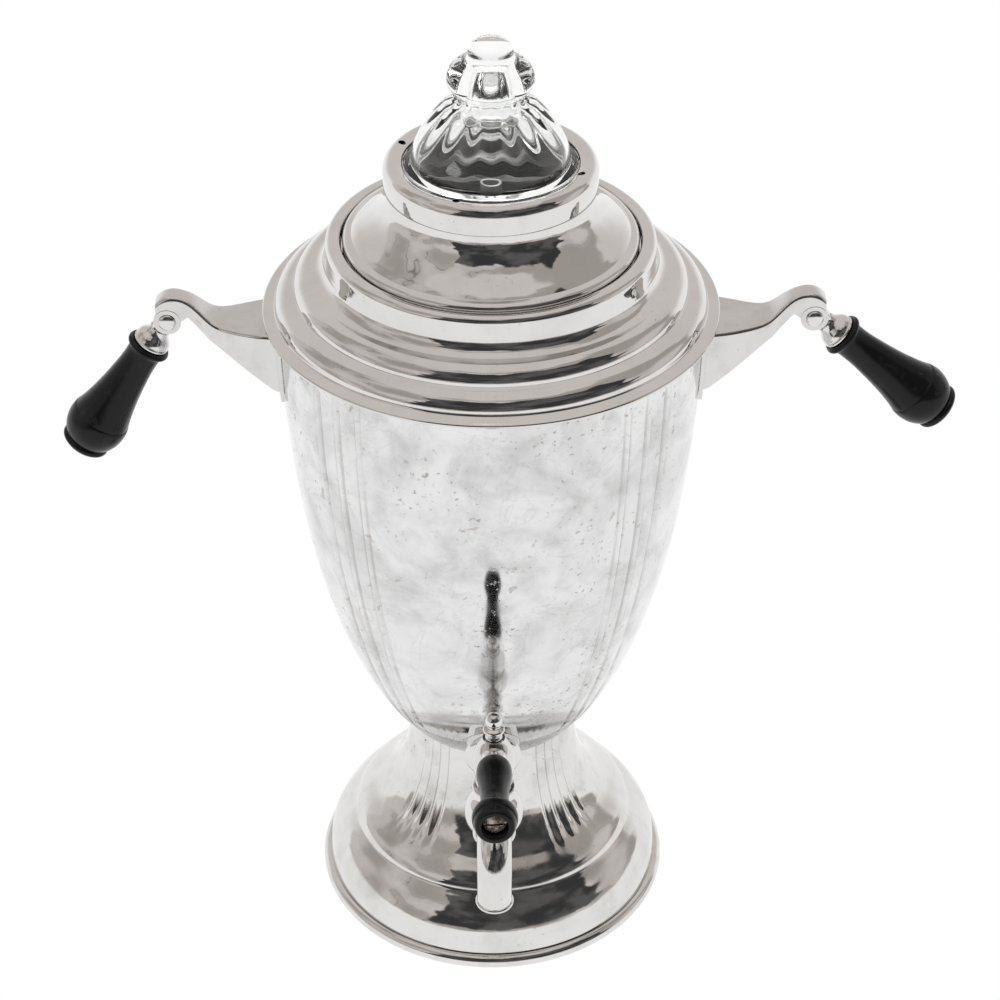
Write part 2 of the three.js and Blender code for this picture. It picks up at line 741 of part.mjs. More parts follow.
function tapSpout() {
  const bendY = hubFront + 1;
  const reach = bendY + SPOUT_BEND;
  const tip = tapZ - SPOUT_DROP;
  const path = new THREE.CurvePath();
  const corner = new THREE.Vector3(0, -bendY, tapZ);
  const elbow = new THREE.Vector3(0, -reach, tapZ - SPOUT_BEND);
  path.add(new THREE.LineCurve3(new THREE.Vector3(0, -spoutStart, tapZ), corner));
  path.add(new THREE.QuadraticBezierCurve3(corner, new THREE.Vector3(0, -reach, tapZ), elbow));
  path.add(new THREE.LineCurve3(elbow, new THREE.Vector3(0, -reach, tip)));
  const section = new THREE.Shape().absarc(0, 0, SPOUT_R, 0, 2 * Math.PI);
  section.holes.push(new THREE.Path().absarc(0, 0, SPOUT_R - SPOUT_WALL, 0, 2 * Math.PI, true));
  const pipe = weld(new THREE.ExtrudeGeometry(section, {
    steps: 9,
    extrudePath: path,
    curveSegments: SMALL_SIDES / 2,
  }));
  const lip = spinRing([
    [SPOUT_R - SPOUT_WALL + 0.3, tip + 0.4],
    [SPOUT_R + 0.5, tip + 0.4],
    [SPOUT_R + 0.9, tip + 1.1],
    [SPOUT_R + 0.5, tip + 1.8],
    [SPOUT_R - SPOUT_WALL + 0.3, tip + 1.8],
  ], 12).translate(0, -reach, 0);
  return join(pipe, lip);
}

add(urn, 'tap_flange', tapFlange(), chrome);
add(urn, 'tap_saddle_washer', tapSaddleWasher(), aluminium);
add(urn, 'tap_nut', tapNut(), brass);
add(urn, 'tap_body', tapBody(), chrome);
add(urn, 'tap_spout', tapSpout(), chrome);

// ---- Tap key: a plug that turns in the valve, with a finial and a lever grip ---------------------
// Drawn about the plug's axis, which stands at the valve; +Z up.

const key = new THREE.Group();
key.position.set(0, -tapReach, 0);
urn.add(key);

const keyR = valveNeckR + KEY_OVERHANG;
const bellBottom = valveTop + GAP;
const bellTop = bellBottom + KEY_H;
const leverZ = bellTop - 7;
const bossEnd = keyR + 1.2;
const washerTop = valveFoot - GAP;
const washerBottom = washerTop - 1.2;
const nutTop = washerBottom - GAP;
const nutBottom = nutTop - NUT_T;
const plugThread = PLUG_R - 2;

/** Moves a piece drawn along +Z onto the lever's line, which leaves the plug's axis at leverZ. */
function onLever(geometry) {
  const tilt = THREE.MathUtils.degToRad(90 - LEVER_RISE);
  return geometry.rotateX(tilt).translate(0, 0, leverZ);
}

function tapPlug() {
  const turned = spin([
    [0, nutBottom - 1],
    [plugThread, nutBottom - 1],
    [plugThread, valveFoot + 1],
    [PLUG_R, valveFoot + 1],
    [PLUG_R, bellBottom],
    [keyR - 1.2, bellBottom],
    [keyR - 0.6, bellBottom + 5],
    ...curve([keyR, bellTop - 12], [keyR - 0.5, bellTop - 7], [keyR - 3, bellTop - 3],
      [4.6, bellTop], 3),
    [0, bellTop],
  ], 16);
  const boss = onLever(cylinder(5, 0, bossEnd));
  return cut(
    join(turned, boss),
    onLever(cylinder(LEVER_SCREW_R + GAP, 1, 30)),
    cylinder(WATERWAY_R, -20, 20).rotateY(Math.PI / 2).translate(0, 0, tapZ),
  );
}

function tapFinial() {
  const base = bellTop + GAP;
  return spin([
    [0, base],
    [3.6, base],
    [2.8, base + 1.6],
    [4.3, base + 3],
    [4.3, base + 4.6],
    [3, base + 5.4],
    ...arc(0, base + 8.2, 3.4, 3.4, -40, 60, 3),
    [0, base + 11.6],
  ]);
}

function leverGrip() {
  const start = bossEnd + GAP;
  const end = start + LEVER_L;
  const bore = LEVER_SCREW_R + GAP;
  return onLever(spinRing([
    [bore, start],
    [5, start],
    [6.4, start + 4],
    [6.65, start + 9],
    [5.6, start + 18],
    [5.4, end - 16],
    [6.4, end - 13],
    [7.4, end - 12],
    [LEVER_R, end - 8],
    [LEVER_R - 0.2, end - 4],
    [LEVER_R - 1.5, end],
    [5, end],
    [5, end - 5],
    [bore, end - 5],
  ], 14));
}

function leverScrew() {
  const head = bossEnd + LEVER_L - 4.4;
  const screw = spin([
    [0, 3],
    [LEVER_SCREW_R, 3],
    [LEVER_SCREW_R, head],
    [4.4, head],
    [4.4, head + 1.6],
    [3.4, head + 2.4],
    [0, head + 2.6],
  ]);
  return onLever(cut(screw, box(10, 1, 2).translate(0, 0, head + 2.8)));
}

add(key, 'tap_plug', tapPlug(), chrome);
add(key, 'tap_finial', tapFinial(), chrome);
add(key, 'lever_grip', leverGrip(), blackGrip);
add(key, 'lever_screw', leverScrew(), plainSteel);
add(key, 'plug_washer', tube(plugThread + GAP, PLUG_R + 1.5, washerBottom, washerTop), brass);
add(key, 'plug_nut', nut(10, plugThread + GAP, nutBottom, nutTop), brass);

// ---- Lid, vented ring and glass top --------------------------------------------------------------

const lidBottom = seatZ + GAP;
const lidTop = lidBottom + LID_H;
const ringR = GLASS_R + RING_W;
const lidTopR = ringR - 2.3;
const ventCircle = GLASS_R + VENT_OUT;

function ventCutters() {
  return holeCutters(VENTS, ventCircle, VENT_R, lidBottom, lidTop + 20, VENT_TURN);
}

function lidShell() {
  const skirtR = MOUTH_R - SKIRT_PLAY;
  const outside = [
    [lidR, lidBottom + 2.6],
    [lidR - 0.6, lidBottom + LID_RIM_H],
    [lidR - 4.3, lidBottom + LID_RIM_H + 1.6],
    ...curve([lidR - 8.5, lidBottom + LID_RIM_H + 4.8], [lidR - 13, lidBottom + LID_RIM_H + 8.5],
      [lidTopR + 1.4, lidTop - 14], [lidTopR + 0.8, lidTop - 8], 4),
    [lidTopR, lidTop],
    [GLASS_R - GLASS_SEAT_W, lidTop],
  ];
  const inside = offset(outside, LID_SHEET).reverse();
  inside[0] = [GLASS_R - GLASS_SEAT_W, lidTop - LID_SHEET];
  const shell = spinRing([
    [skirtR - LID_SHEET, lidBottom - LID_SKIRT],
    [skirtR, lidBottom - LID_SKIRT],
    [skirtR, lidBottom],
    [lidR - 0.4, lidBottom],
    ...outside,
    ...inside.slice(0, -2),
    [skirtR - LID_SHEET, lidBottom + 3],
  ]);
  return cut(shell, ...ventCutters());
}

function lidRing() {
  const bottom = lidTop - 6.6;
  const seat = lidTop + GAP;
  const top = bottom + RING_H;
  const innerR = GLASS_R + GLASS_PLAY;
  const outside = [
    [ringR - 0.5, bottom],
    [ringR, bottom + 7],
    [ringR - 0.7, top - 1.9],
    [ringR - 2.6, top - 0.3],
    [ventCircle, top],
    [innerR + 0.5, top - 0.8],
    [innerR, top - 2.2],
    [innerR, seat],
  ];
  const inside = offset(outside, RING_SHEET).reverse();
  inside[0] = [innerR + RING_SHEET, seat];
  inside[inside.length - 1] = [inside[inside.length - 1][0], bottom];
  return cut(spinRing([...outside, ...inside]), ...ventCutters());
}

function glassTop() {
  const base = lidTop + GAP;
  const flangeTop = base + 3.6;
  const neckZ = flangeTop + GLASS_DOME_H;
  const top = neckZ + 23;
  return spin([
    [GLASS_R - 4.2, base],
    [GLASS_R, base],
    [GLASS_R, flangeTop],
    [GLASS_R - 2.2, flangeTop + 1.2],
    ...curve([GLASS_R - 2.6, flangeTop + 3.2], [GLASS_R - 4.5, flangeTop + 12],
      [18, neckZ - 6], [14.2, neckZ - 2.6], 3),
    [12.8, neckZ],
    [GLASS_KNOB_R - 0.6, neckZ + 4.2],
    [GLASS_KNOB_R, neckZ + 6.6],
    [GLASS_KNOB_R - 1.8, neckZ + 11.5],
    [11.5, neckZ + 14.5],
    [8.6, neckZ + 16.4],
    [8, neckZ + 19.5],
    [5, top - 1],
    [0, top],
    [0, neckZ + 14],
    [5, neckZ + 12],
    [7.5, neckZ + 5],
    [7.5, neckZ - 2],
    ...curve([12, neckZ - 7], [18, neckZ - 10], [GLASS_R - 6, flangeTop + 10],
      [GLASS_R - 5.2, flangeTop + 2], 3),
    [GLASS_R - 4.2, base],
  ], 20);
}

add(urn, 'lid_shell', lidShell(), chrome);
add(urn, 'lid_ring', lidRing(), chrome);
add(urn, 'glass_top', glassTop(), clearGlass);

// ---- Pump, basket and spreader: the percolator's lift-out works ---------------------------------

const bellFloor = floorZ + TANK_SHEET + GAP;
const bellApex = bellFloor + 13;
const tubeBottom = bellApex + GAP;
const tubeTop = lidTop - PUMP_TOP_GAP;
const pumpBellR = floorR - TANK_SHEET - PUMP_BELL_PLAY;
const basketTop = seatZ - BASKET_DROP;
const basketZ = basketTop - BASKET_H;
const spreaderZ = basketTop + GAP;
const tubePlay = PUMP_TUBE_R + GAP;

function pumpTube() {
  const bore = PUMP_TUBE_R - PUMP_TUBE_WALL;
  const stop = basketZ - GAP;
  return spinRing([
    [bore, tubeBottom],
    [PUMP_TUBE_R, tubeBottom],
    [PUMP_TUBE_R, stop - 2],
    [PUMP_TUBE_R + 2.5, stop - 1],
    [PUMP_TUBE_R + 2.5, stop],
    [PUMP_TUBE_R, stop],
    [PUMP_TUBE_R, tubeTop],
    [bore, tubeTop],
  ], SMALL_SIDES);
}

function pumpBell() {
  const outside = [
    [pumpBellR, bellFloor],
    [pumpBellR - 1, bellFloor + 3],
    [pumpBellR - 12, bellFloor + 7],
    [PUMP_TUBE_R + 3, bellApex - 1],
    [PUMP_TUBE_R - PUMP_TUBE_WALL, bellApex],
  ];
  const inside = offset(outside, 1).reverse();
  inside[0] = [PUMP_TUBE_R - PUMP_TUBE_WALL, bellApex - 1.2];
  inside[inside.length - 1] = [pumpBellR - 1, bellFloor];
  return spinRing([...outside, ...inside], 16);
}

function basket() {
  const sleeve = tubePlay + BASKET_SHEET;
  const cup = spinRing([
    [tubePlay, basketZ],
    [BASKET_R - 3, basketZ],
    [BASKET_R - 0.6, basketZ + 2.4],
    [BASKET_R, basketTop],
    [BASKET_R - BASKET_SHEET, basketTop],
    [BASKET_R - 0.6 - BASKET_SHEET, basketZ + 3],
    [BASKET_R - 3.6, basketZ + BASKET_SHEET],
    [sleeve, basketZ + BASKET_SHEET],
    [sleeve, basketZ + 12],
    [tubePlay, basketZ + 12],
  ], 20);
  return cut(cup, ...holeCutters(HOLES, BASKET_R * 0.55, HOLE_R, basketZ - 2, basketZ + 3));
}

function spreader() {
  const disc = spinRing([
    [tubePlay, spreaderZ + SPREADER_RISE],
    [BASKET_R - 4, spreaderZ + 0.6],
    [BASKET_R - 2, spreaderZ],
    [BASKET_R, spreaderZ],
    [BASKET_R, spreaderZ + 1.2],
    [BASKET_R - 1.6, spreaderZ + 1.2],
    [BASKET_R - 4, spreaderZ + 1.8],
    [tubePlay, spreaderZ + SPREADER_RISE + 1.2],
  ], 20);
  return cut(disc, ...holeCutters(HOLES, BASKET_R * 0.55, HOLE_R, spreaderZ - 2, spreaderZ + 9));
}

add(urn, 'pump_tube', pumpTube(), aluminium);
add(urn, 'pump_bell', pumpBell(), aluminium);
add(urn, 'basket', basket(), aluminium);
add(urn, 'spreader', spreader(), aluminium);

// ---- Heater under the tank's floor --------------------------------------------------------------

const elementR = floorR - ELEMENT_PLAY;
const clampR = elementR - CLAMP_IN;
const elementTop = floorZ - GAP;
const elementBottom = elementTop - ELEMENT_T;
const clampTop = elementBottom - GAP;
const clampBottom = clampTop - CLAMP_T;
const heaterNutTop = clampBottom - GAP;
const heaterNutBottom = heaterNutTop - NUT_T;
const studPlay = HEATER_STUD_R + GAP;

function thermalCutout() {
  return box(12, 9, 5).translate(clampR - 9, 0, clampBottom - GAP - 2.5);
}

add(urn, 'heater_element', tube(studPlay, elementR, elementBottom, elementTop, 16), mica);
add(urn, 'heater_clamp', tube(studPlay, clampR, clampBottom, clampTop, 16), plainSteel);
add(urn, 'heater_stud', cylinder(HEATER_STUD_R, heaterNutBottom - 2, elementTop), plainSteel);
add(urn, 'heater_nut', nut(8, studPlay, heaterNutBottom, heaterNutTop), brass);
add(urn, 'thermal_cutout', thermalCutout(), porcelain);

// ---- Mains inlet at the back of the foot ---------------------------------------------------------

const inletBack = FOOT_R - INLET_DEPTH;
const blockT = 7;

function inletShroud() {
  const length = INLET_DEPTH;
  const middle = FOOT_R - length / 2;
  const outer = sidePlate(inletOutline(0), length).translate(0, middle, 0);
  const inner = sidePlate(inletOutline(-INLET_WALL), length + 2).translate(0, middle, 0);
  return cut(outer, inner);
}

function inletBlock() {
  const middle = inletBack + blockT / 2;
  const block = sidePlate(inletOutline(-INLET_WALL - GAP), blockT).translate(0, middle, 0);
  const holes = [-1, 1].map((side) => cylinder(INLET_PIN_R + GAP, -90, 90)
    .rotateX(Math.PI / 2).translate(side * INLET_PIN_SPACING / 2, 0, INLET_Z));
  return cut(block, ...holes);
}

function inletPin() {
  return spin([
    [0, inletBack - 5],
    [INLET_PIN_R, inletBack - 5],
    [INLET_PIN_R, FOOT_R - 4],
    [INLET_PIN_R - 1, FOOT_R - 2.5],
    [0, FOOT_R - 2.5],
  ], 12).rotateX(-Math.PI / 2);
}

/** A lead from the back of an inlet pin up to the heating element. */
function lead(side) {
  const x = side * INLET_PIN_SPACING / 2;
  const terminalY = Math.sqrt((elementR - 3) ** 2 - x ** 2);
  const route = new THREE.CatmullRomCurve3([
    new THREE.Vector3(x, inletBack - 5 - LEAD_GAP, INLET_Z),
    new THREE.Vector3(x, inletBack - 14, INLET_Z + 3),
    new THREE.Vector3(x, terminalY, INLET_Z + 22),
    new THREE.Vector3(x, terminalY, elementBottom - LEAD_GAP),
  ]);
  const section = new THREE.Shape().absarc(0, 0, LEAD_R, 0, 2 * Math.PI);
  return weld(new THREE.ExtrudeGeometry(section, { steps: 8, extrudePath: route, curveSegments: 4 }));
}

add(urn, 'inlet_shroud', inletShroud(), plainSteel);
add(urn, 'inlet_block', inletBlock(), porcelain);
for (const [side, sign] of [['left', -1], ['right', 1]]) {
  const pin = add(urn, `inlet_pin_${side}`, inletPin(), brass);
  pin.position.set(sign * INLET_PIN_SPACING / 2, 0, INLET_Z);
  add(urn, `lead_${side}`, lead(sign), braid);
}

export default urn;
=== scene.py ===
import json
import math

import bmesh
import bpy
from mathutils import Matrix, Vector, geometry


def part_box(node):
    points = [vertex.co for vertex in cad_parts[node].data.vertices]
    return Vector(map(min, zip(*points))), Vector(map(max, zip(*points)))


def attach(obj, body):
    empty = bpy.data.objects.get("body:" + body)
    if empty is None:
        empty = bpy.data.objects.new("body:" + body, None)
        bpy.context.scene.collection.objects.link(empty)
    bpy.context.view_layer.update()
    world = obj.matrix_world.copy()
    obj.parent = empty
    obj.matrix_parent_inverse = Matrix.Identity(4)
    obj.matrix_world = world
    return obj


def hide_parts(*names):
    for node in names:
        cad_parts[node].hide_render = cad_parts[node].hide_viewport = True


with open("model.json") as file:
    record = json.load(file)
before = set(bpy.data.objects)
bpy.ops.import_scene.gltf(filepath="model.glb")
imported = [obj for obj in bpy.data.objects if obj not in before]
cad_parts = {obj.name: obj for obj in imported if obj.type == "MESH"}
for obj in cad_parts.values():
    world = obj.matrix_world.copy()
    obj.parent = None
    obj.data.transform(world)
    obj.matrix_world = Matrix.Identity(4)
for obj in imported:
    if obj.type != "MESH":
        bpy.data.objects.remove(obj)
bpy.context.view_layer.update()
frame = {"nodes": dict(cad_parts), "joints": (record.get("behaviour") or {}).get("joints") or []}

# ---- Camera ---------------------------------------------------------------------------------
# Above and in front of the urn, looking down on it through a short telephoto lens.

camera_data = bpy.data.cameras.new("camera")
camera_data.lens = 92.9
camera_data.sensor_width = 36
camera_data.clip_end = 50
camera = bpy.data.objects.new("camera", camera_data)
bpy.context.scene.collection.objects.link(camera)
bpy.context.scene.camera = camera
camera_turn = math.radians(-0.5)
look_down = math.radians(35.11)
look_aside = math.radians(0.155)
camera_place = Matrix.Rotation(camera_turn, 4, "Z") @ Matrix.Translation((0.0011, -0.8572, 0.7945))
camera_aim = Matrix.Rotation(-look_aside, 4, "Z") @ Matrix.Rotation(math.pi / 2 - look_down, 4, "X")
camera.matrix_world = camera_place @ camera_aim
bpy.context.scene.view_settings.view_transform = "Standard"

# ---- Studio ---------------------------------------------------------------------------------
# Soft white light from all round, and a room for the
# polished metal to mirror.


class Signal:
    """A shader socket that takes part in Python sums."""

    def __init__(self, finish, socket):
        self.finish = finish
        self.socket = socket

    def maths(self, operation, *values):
        return self.finish.node("ShaderNodeMath", {"operation": operation}, *values)

    def __add__(self, other):
        return self.maths("ADD", self, other)

    __radd__ = __add__

    def __sub__(self, other):
        return self.maths("SUBTRACT", self, other)

    def __rsub__(self, other):
        return self.maths("SUBTRACT", other, self)

    def __mul__(self, other):
        return self.maths("MULTIPLY", self, other)

    __rmul__ = __mul__

    def __truediv__(self, other):
        return self.maths("DIVIDE", self, other)

    def __pow__(self, other):
        return self.maths("POWER", self, other)

    def __abs__(self):
        return self.maths("ABSOLUTE", self)

    def rise(self, low, high):
        """Rises from 0 to 1 while the value goes from low to high."""
        settings = {"interpolation_type": "SMOOTHSTEP"}
        return self.finish.node("ShaderNodeMapRange", settings, self, low, high, 0.0, 1.0)


class Finish:
    """A material that is put together from nodes."""

    def __init__(self, name):
        self.material = bpy.data.materials.new(name)
        self.material.use_nodes = True
        self.nodes = self.material.node_tree.nodes
        self.links = self.material.node_tree.links
        self.shader = self.nodes["Principled BSDF"]
        self.place = Signal(self, self.nodes.new("ShaderNodeTexCoord").outputs["Object"])

    def node(self, kind, settings, *values, output=0, **named):
        """Adds a node, sets it up, fills its sockets in order or by name, and gives an output."""
        new = self.nodes.new(kind)
        for key, value in settings.items():
            if key == "stops":
                self.set_stops(new.color_ramp, value)
            else:
                setattr(new, key, value)
        for key, value in [*enumerate(values), *named.items()]:
            self.fill(new.inputs[key if isinstance(key, int) else key.replace("_", " ")], value)
        return Signal(self, new.outputs[output])

    def set_stops(self, ramp, stops):
        for index, (position, colour) in enumerate(stops):
            stop = ramp.elements[index] if index < 2 else ramp.elements.new(position)
            stop.position = position
            stop.color = (*colour, 1)

    def fill(self, socket, value):
        if isinstance(value, Signal):
            self.links.new(value.socket, socket)
        else:
            socket.default_value = value

    def axes(self):
        """How far along X, Y and Z each point is."""
        apart = self.nodes.new("ShaderNodeSeparateXYZ")
        self.fill(apart.inputs[0], self.place)
        return [Signal(self, axis) for axis in apart.outputs]

    def noise(self, scale, detail=4.0, roughness=0.55, distortion=0.0, stretch=(1, 1, 1)):
        where = self.place
        if stretch != (1, 1, 1):
            where = self.node("ShaderNodeMapping", {}, self.place, Scale=stretch)
        return self.node("ShaderNodeTexNoise", {}, Vector=where, Scale=scale, Detail=detail,
                         Roughness=roughness, Distortion=distortion)

    def blend(self, amount, first, second):
        """The first colour where the amount is 0, the second where it is 1."""
        new = self.nodes.new("ShaderNodeMix")
        new.data_type = "RGBA"
        self.fill(new.inputs["Factor"], amount)
        self.fill(new.inputs["A"], first if isinstance(first, Signal) else (*first, 1))
        self.fill(new.inputs["B"], second if isinstance(second, Signal) else (*second, 1))
        return Signal(self, next(o for o in new.outputs if o.type == "RGBA"))

    def bump(self, height, strength, distance):
        return self.node("ShaderNodeBump", {}, Height=height, Strength=strength, Distance=distance)

    def set(self, **sockets):
        for key, value in sockets.items():
            socket = self.shader.inputs[key.replace("_", " ")]
            if isinstance(value, tuple) and socket.type == "RGBA":
                value = (*value, 1)
            self.fill(socket, value)
        return self.material


def plain_finish(name, colour, roughness):
    finish = Finish(name)
    return finish.set(Base_Color=colour, Roughness=roughness)


def link_object(name, bm, finish, smooth_angle=None):
    """Turns a bmesh in metres into a finished object at the origin."""
    mesh = bpy.data.meshes.new(name)
    bm.to_mesh(mesh)
    bm.free()
    if smooth_angle is not None:
        mesh.shade_smooth()
        mesh.set_sharp_from_angle(angle=math.radians(smooth_angle))
    mesh.materials.append(finish)
    piece = bpy.data.objects.new(name, mesh)
    bpy.context.scene.collection.objects.link(piece)
    return piece


def verts_of(made):
    """The vertices in what an operator gives back."""
    return [v for v in made["geom"] if isinstance(v, bmesh.types.BMVert)]


def sweep_floor():
    """A floor that curves up behind the urn into a wall."""
    half_width = 3.0
    bm = bmesh.new()
    line = [(-3.0, 0.0), (1.6, 0.0)]
    line += [(1.6 + 0.8 * math.sin(a), 0.8 - 0.8 * math.cos(a)) for a in (0.3, 0.6, 0.9, 1.2, 1.57)]
    line += [(2.4, 3.2)]
    verts = [bm.verts.new((-half_width, y, z)) for y, z in line]
    edges = [bm.edges.new(pair) for pair in zip(verts, verts[1:])]
    swept = bmesh.ops.extrude_edge_only(bm, edges=edges)
    bmesh.ops.translate(bm, verts=verts_of(swept), vec=(2 * half_width, 0, 0))
    bmesh.ops.recalc_face_normals(bm, faces=bm.faces)
    return link_object("floor", bm, plain_finish("paper", (0.90, 0.90, 0.902), 0.8), 60)


def clean(bm):
    bmesh.ops.remove_doubles(bm, verts=bm.verts, dist=1e-4)
    bmesh.ops.recalc_face_normals(bm, faces=bm.faces)
    return bm


ROOM_R = 2.6


def room_finish():
    """What the metal mirrors: a dark doorway, a beige wall with seams and a pale ceiling."""
    finish = Finish("room")
    x, y, z = finish.axes()
    edge = (finish.noise(1.5, detail=3.0, roughness=0.45) - 0.5) * 0.5
    bearing = finish.node("ShaderNodeMath", {"operation": "ARCTAN2"}, x, 0 - y) + edge
    lift = z / ROOM_R + edge * 0.4
    door = bearing.rise(-0.66, -0.63) * (1 - bearing.rise(1.24, 1.27))
    door = door * lift.rise(0.08, 0.11) * (1 - lift.rise(0.80, 0.82))
    wall = bearing.rise(-2.10, -2.00) * (1 - bearing.rise(2.00, 2.10))
    wall = wall * lift.rise(-0.02, 0.03) * (1 - lift.rise(0.88, 0.91))
    shelves = finish.noise(1.3, detail=3.0, roughness=0.45).rise(0.42, 0.62)
    dark = finish.blend(shelves, (0.045, 0.045, 0.048), (0.12, 0.117, 0.115))
    panels = finish.noise(0.75, detail=3.0, roughness=0.4)
    beige = finish.blend(panels.rise(0.40, 0.62), (0.42, 0.39, 0.37), (0.68, 0.645, 0.625))
    seams = abs(panels - 0.5).rise(0.0, 0.006)
    beige = finish.blend(1 - seams, beige, (0.16, 0.15, 0.14))
    ceiling = finish.blend(lift.rise(0.05, 0.45), (1.0, 1.0, 1.0), (0.70, 0.665, 0.645))
    colour = finish.blend(wall, ceiling, beige)
    return finish.set(
        Base_Color=(0, 0, 0),
        Roughness=1.0,
        Specular_IOR_Level=0.0,
        Emission_Color=finish.blend(door, colour, dark),
        Emission_Strength=1.0,
    )


def room():
    """The upper part of a sphere round the urn. Only reflections show it."""
    bm = bmesh.new()
    verts = []
    for step in range(17):
        lift = math.radians(90 * step / 16)
        verts.append(bm.verts.new((0, -ROOM_R * math.cos(lift), ROOM_R * math.sin(lift))))
    edges = [bm.edges.new(pair) for pair in zip(verts, verts[1:])]
    bmesh.ops.spin(bm, geom=verts + edges, cent=(0, 0, 0), axis=(0, 0, 1),
                   angle=2 * math.pi, steps=64, use_merge=True)
    clean(bm)
    shell = link_object("room", bm, room_finish(), 60)
    shell.visible_camera = False
    shell.visible_diffuse = False
    shell.visible_shadow = False
    shell.visible_transmission = False
    return shell


room()

world = bpy.data.worlds.new("studio")
bpy.context.scene.world = world
world.use_nodes = True
world.node_tree.nodes["Background"].inputs["Color"].default_value = (1.0, 1.0, 1.0, 1)
world.node_tree.nodes["Background"].inputs["Strength"].default_value = 1.0


def soft_light(name, place, size, power):
    data = bpy.data.lights.new(name, "AREA")
    data.shape = "DISK"
    data.size = size
    data.energy = power
    light = bpy.data.objects.new(name, data)
    bpy.context.scene.collection.objects.link(light)
    aim = (Vector((0, 0, 0.2)) - Vector(place)).to_track_quat("-Z", "Y")
    light.matrix_world = Matrix.Translation(place) @ aim.to_matrix().to_4x4()
    light.visible_camera = False
    light.visible_glossy = False


soft_light("top_light", (0.3, 0.5, 2.2), 1.6, 24)
soft_light("left_light", (-1.7, -0.9, 1.3), 1.0, 10)

# ---- Foot ring ------------------------------------------------------------------------------
# The urn stands on a rolled bead of chromed brass. The foot's shell drops over its inner lip.


def span(node):
    """The lowest and highest corners of a CAD node at rest, in millimetres."""
    low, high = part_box(node)
    return [v * 1000 for v in low], [v * 1000 for v in high]


def radius_of(node):
    """The radius of a round piece that stands on the urn's axis."""
    low, high = span(node)
    return (high[0] - low[0]) / 2


def arc(r, z, rr, rz, start, end, steps=8):
    """Points on an ellipse about (r, z), angles in degrees from outwards towards up."""
    angles = [math.radians(start + (end - start) * i / steps) for i in range(steps + 1)]
    return [(r + rr * math.cos(a), z + rz * math.sin(a)) for a in angles]


def curve(p0, p1, p2, p3, steps=12):
    """Points on a cubic curve from p0 to p3."""
    points = geometry.interpolate_bezier(*[Vector((*p, 0)) for p in (p0, p1, p2, p3)], steps + 1)
    return [(p.x, p.y) for p in points]


def rounded(points, steps=4):
    """An outline whose corners are filleted where a point gives a third number, the radius."""
    outline = []
    count = len(points)
    for i, point in enumerate(points):
        if len(point) == 2:
            outline.append(point)
            continue
        here = Vector(point[:2])
        before = Vector(points[i - 1][:2]) - here
        after = Vector(points[(i + 1) % count][:2]) - here
        half = before.angle(after) / 2
        reach = min(point[2] / math.tan(half), before.length * 0.49, after.length * 0.49)
        start = here + before.normalized() * reach
        end = here + after.normalized() * reach
        for step in range(steps + 1):
            t = step / steps
            p = start * (1 - t) ** 2 + here * (2 * t * (1 - t)) + end * t ** 2
            outline.append((p.x, p.y))
    return outline


def turned(outline, steps=128, closed=True):
    """A bmesh in millimetres: an outline of (radius, height) spun about Z."""
    bm = bmesh.new()
    verts = [bm.verts.new((max(r, 0), 0, z)) for r, z in rounded(outline)]
    edges = [bm.edges.new(pair) for pair in zip(verts, verts[1:])]
    if closed:
        edges.append(bm.edges.new((verts[-1], verts[0])))
    bmesh.ops.spin(bm, geom=verts + edges, cent=(0, 0, 0), axis=(0, 0, 1),
                   angle=2 * math.pi, steps=steps, use_merge=True)
    return clean(bm)


def carry(bm, turn=None, move=(0, 0, 0)):
    """Turns a bmesh by a rotation matrix and then moves it, in millimetres."""
    if turn is not None:
        bmesh.ops.rotate(bm, verts=bm.verts, cent=(0, 0, 0), matrix=turn)
    bmesh.ops.translate(bm, verts=bm.verts, vec=move)
    return bm


def place(name, bm, finish, body, slot, nodes, smooth_angle=32):
    """Scales a bmesh from millimetres, makes it a piece of a body and hides the CAD parts that it replaces.
    """
    bmesh.ops.scale(bm, verts=bm.verts, vec=(0.001, 0.001, 0.001))
    piece = link_object(name, bm, finish, smooth_angle)
    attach(piece, body)
    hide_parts(*nodes)
    return piece


def chrome_finish(name, haze, wear, pits, tint=(0.745, 0.735, 0.72), worn_above=None):
    """Chrome plate. haze is the plain roughness, wear adds cloudy patches and streaks, and pits
    adds dark spots where the plate has failed. Above a height, the wear is at its worst."""
    finish = Finish(name)
    clouds = finish.noise(30.0, detail=7.0, roughness=0.62, distortion=0.8).rise(0.44, 0.70)
    film = finish.noise(95.0, detail=6.0, roughness=0.6).rise(0.46, 0.72)
    specks = finish.noise(520.0, detail=3.0).rise(0.66, 0.74)
    thin = finish.noise(45.0, detail=4.0).rise(0.46, 0.66)
    spots = specks * thin * pits
    frost = 0.0
    if worn_above:
        ragged = finish.noise(60.0, detail=6.0, roughness=0.65) * 0.03
        height = finish.axes()[2] + ragged - 0.015
        frost = height.rise(worn_above - 0.004, worn_above + 0.006) * film
        spots = spots + frost * specks * 0.9
    scratches = finish.noise(260.0, detail=2.0, stretch=(6, 6, 0.3)).rise(0.55, 0.8)
    colour = finish.blend(clouds * (0.5 * wear) + film * (0.35 * wear), tint, (0.55, 0.535, 0.515))
    colour = finish.blend(frost * 0.5, colour, (0.56, 0.55, 0.54))
    colour = finish.blend(spots, colour, (0.30, 0.265, 0.23))
    roughness = haze + clouds * (0.13 * wear) + scratches * (0.05 * wear) + spots * 0.35 + frost * 0.16
    height = finish.noise(14.0, detail=2.0) * 0.8 + spots * -0.3 + scratches * (0.03 * wear)
    return finish.set(
        Base_Color=colour,
        Metallic=1.0,
        Roughness=roughness,
        Normal=finish.bump(height, 0.14, 0.0006),
    )


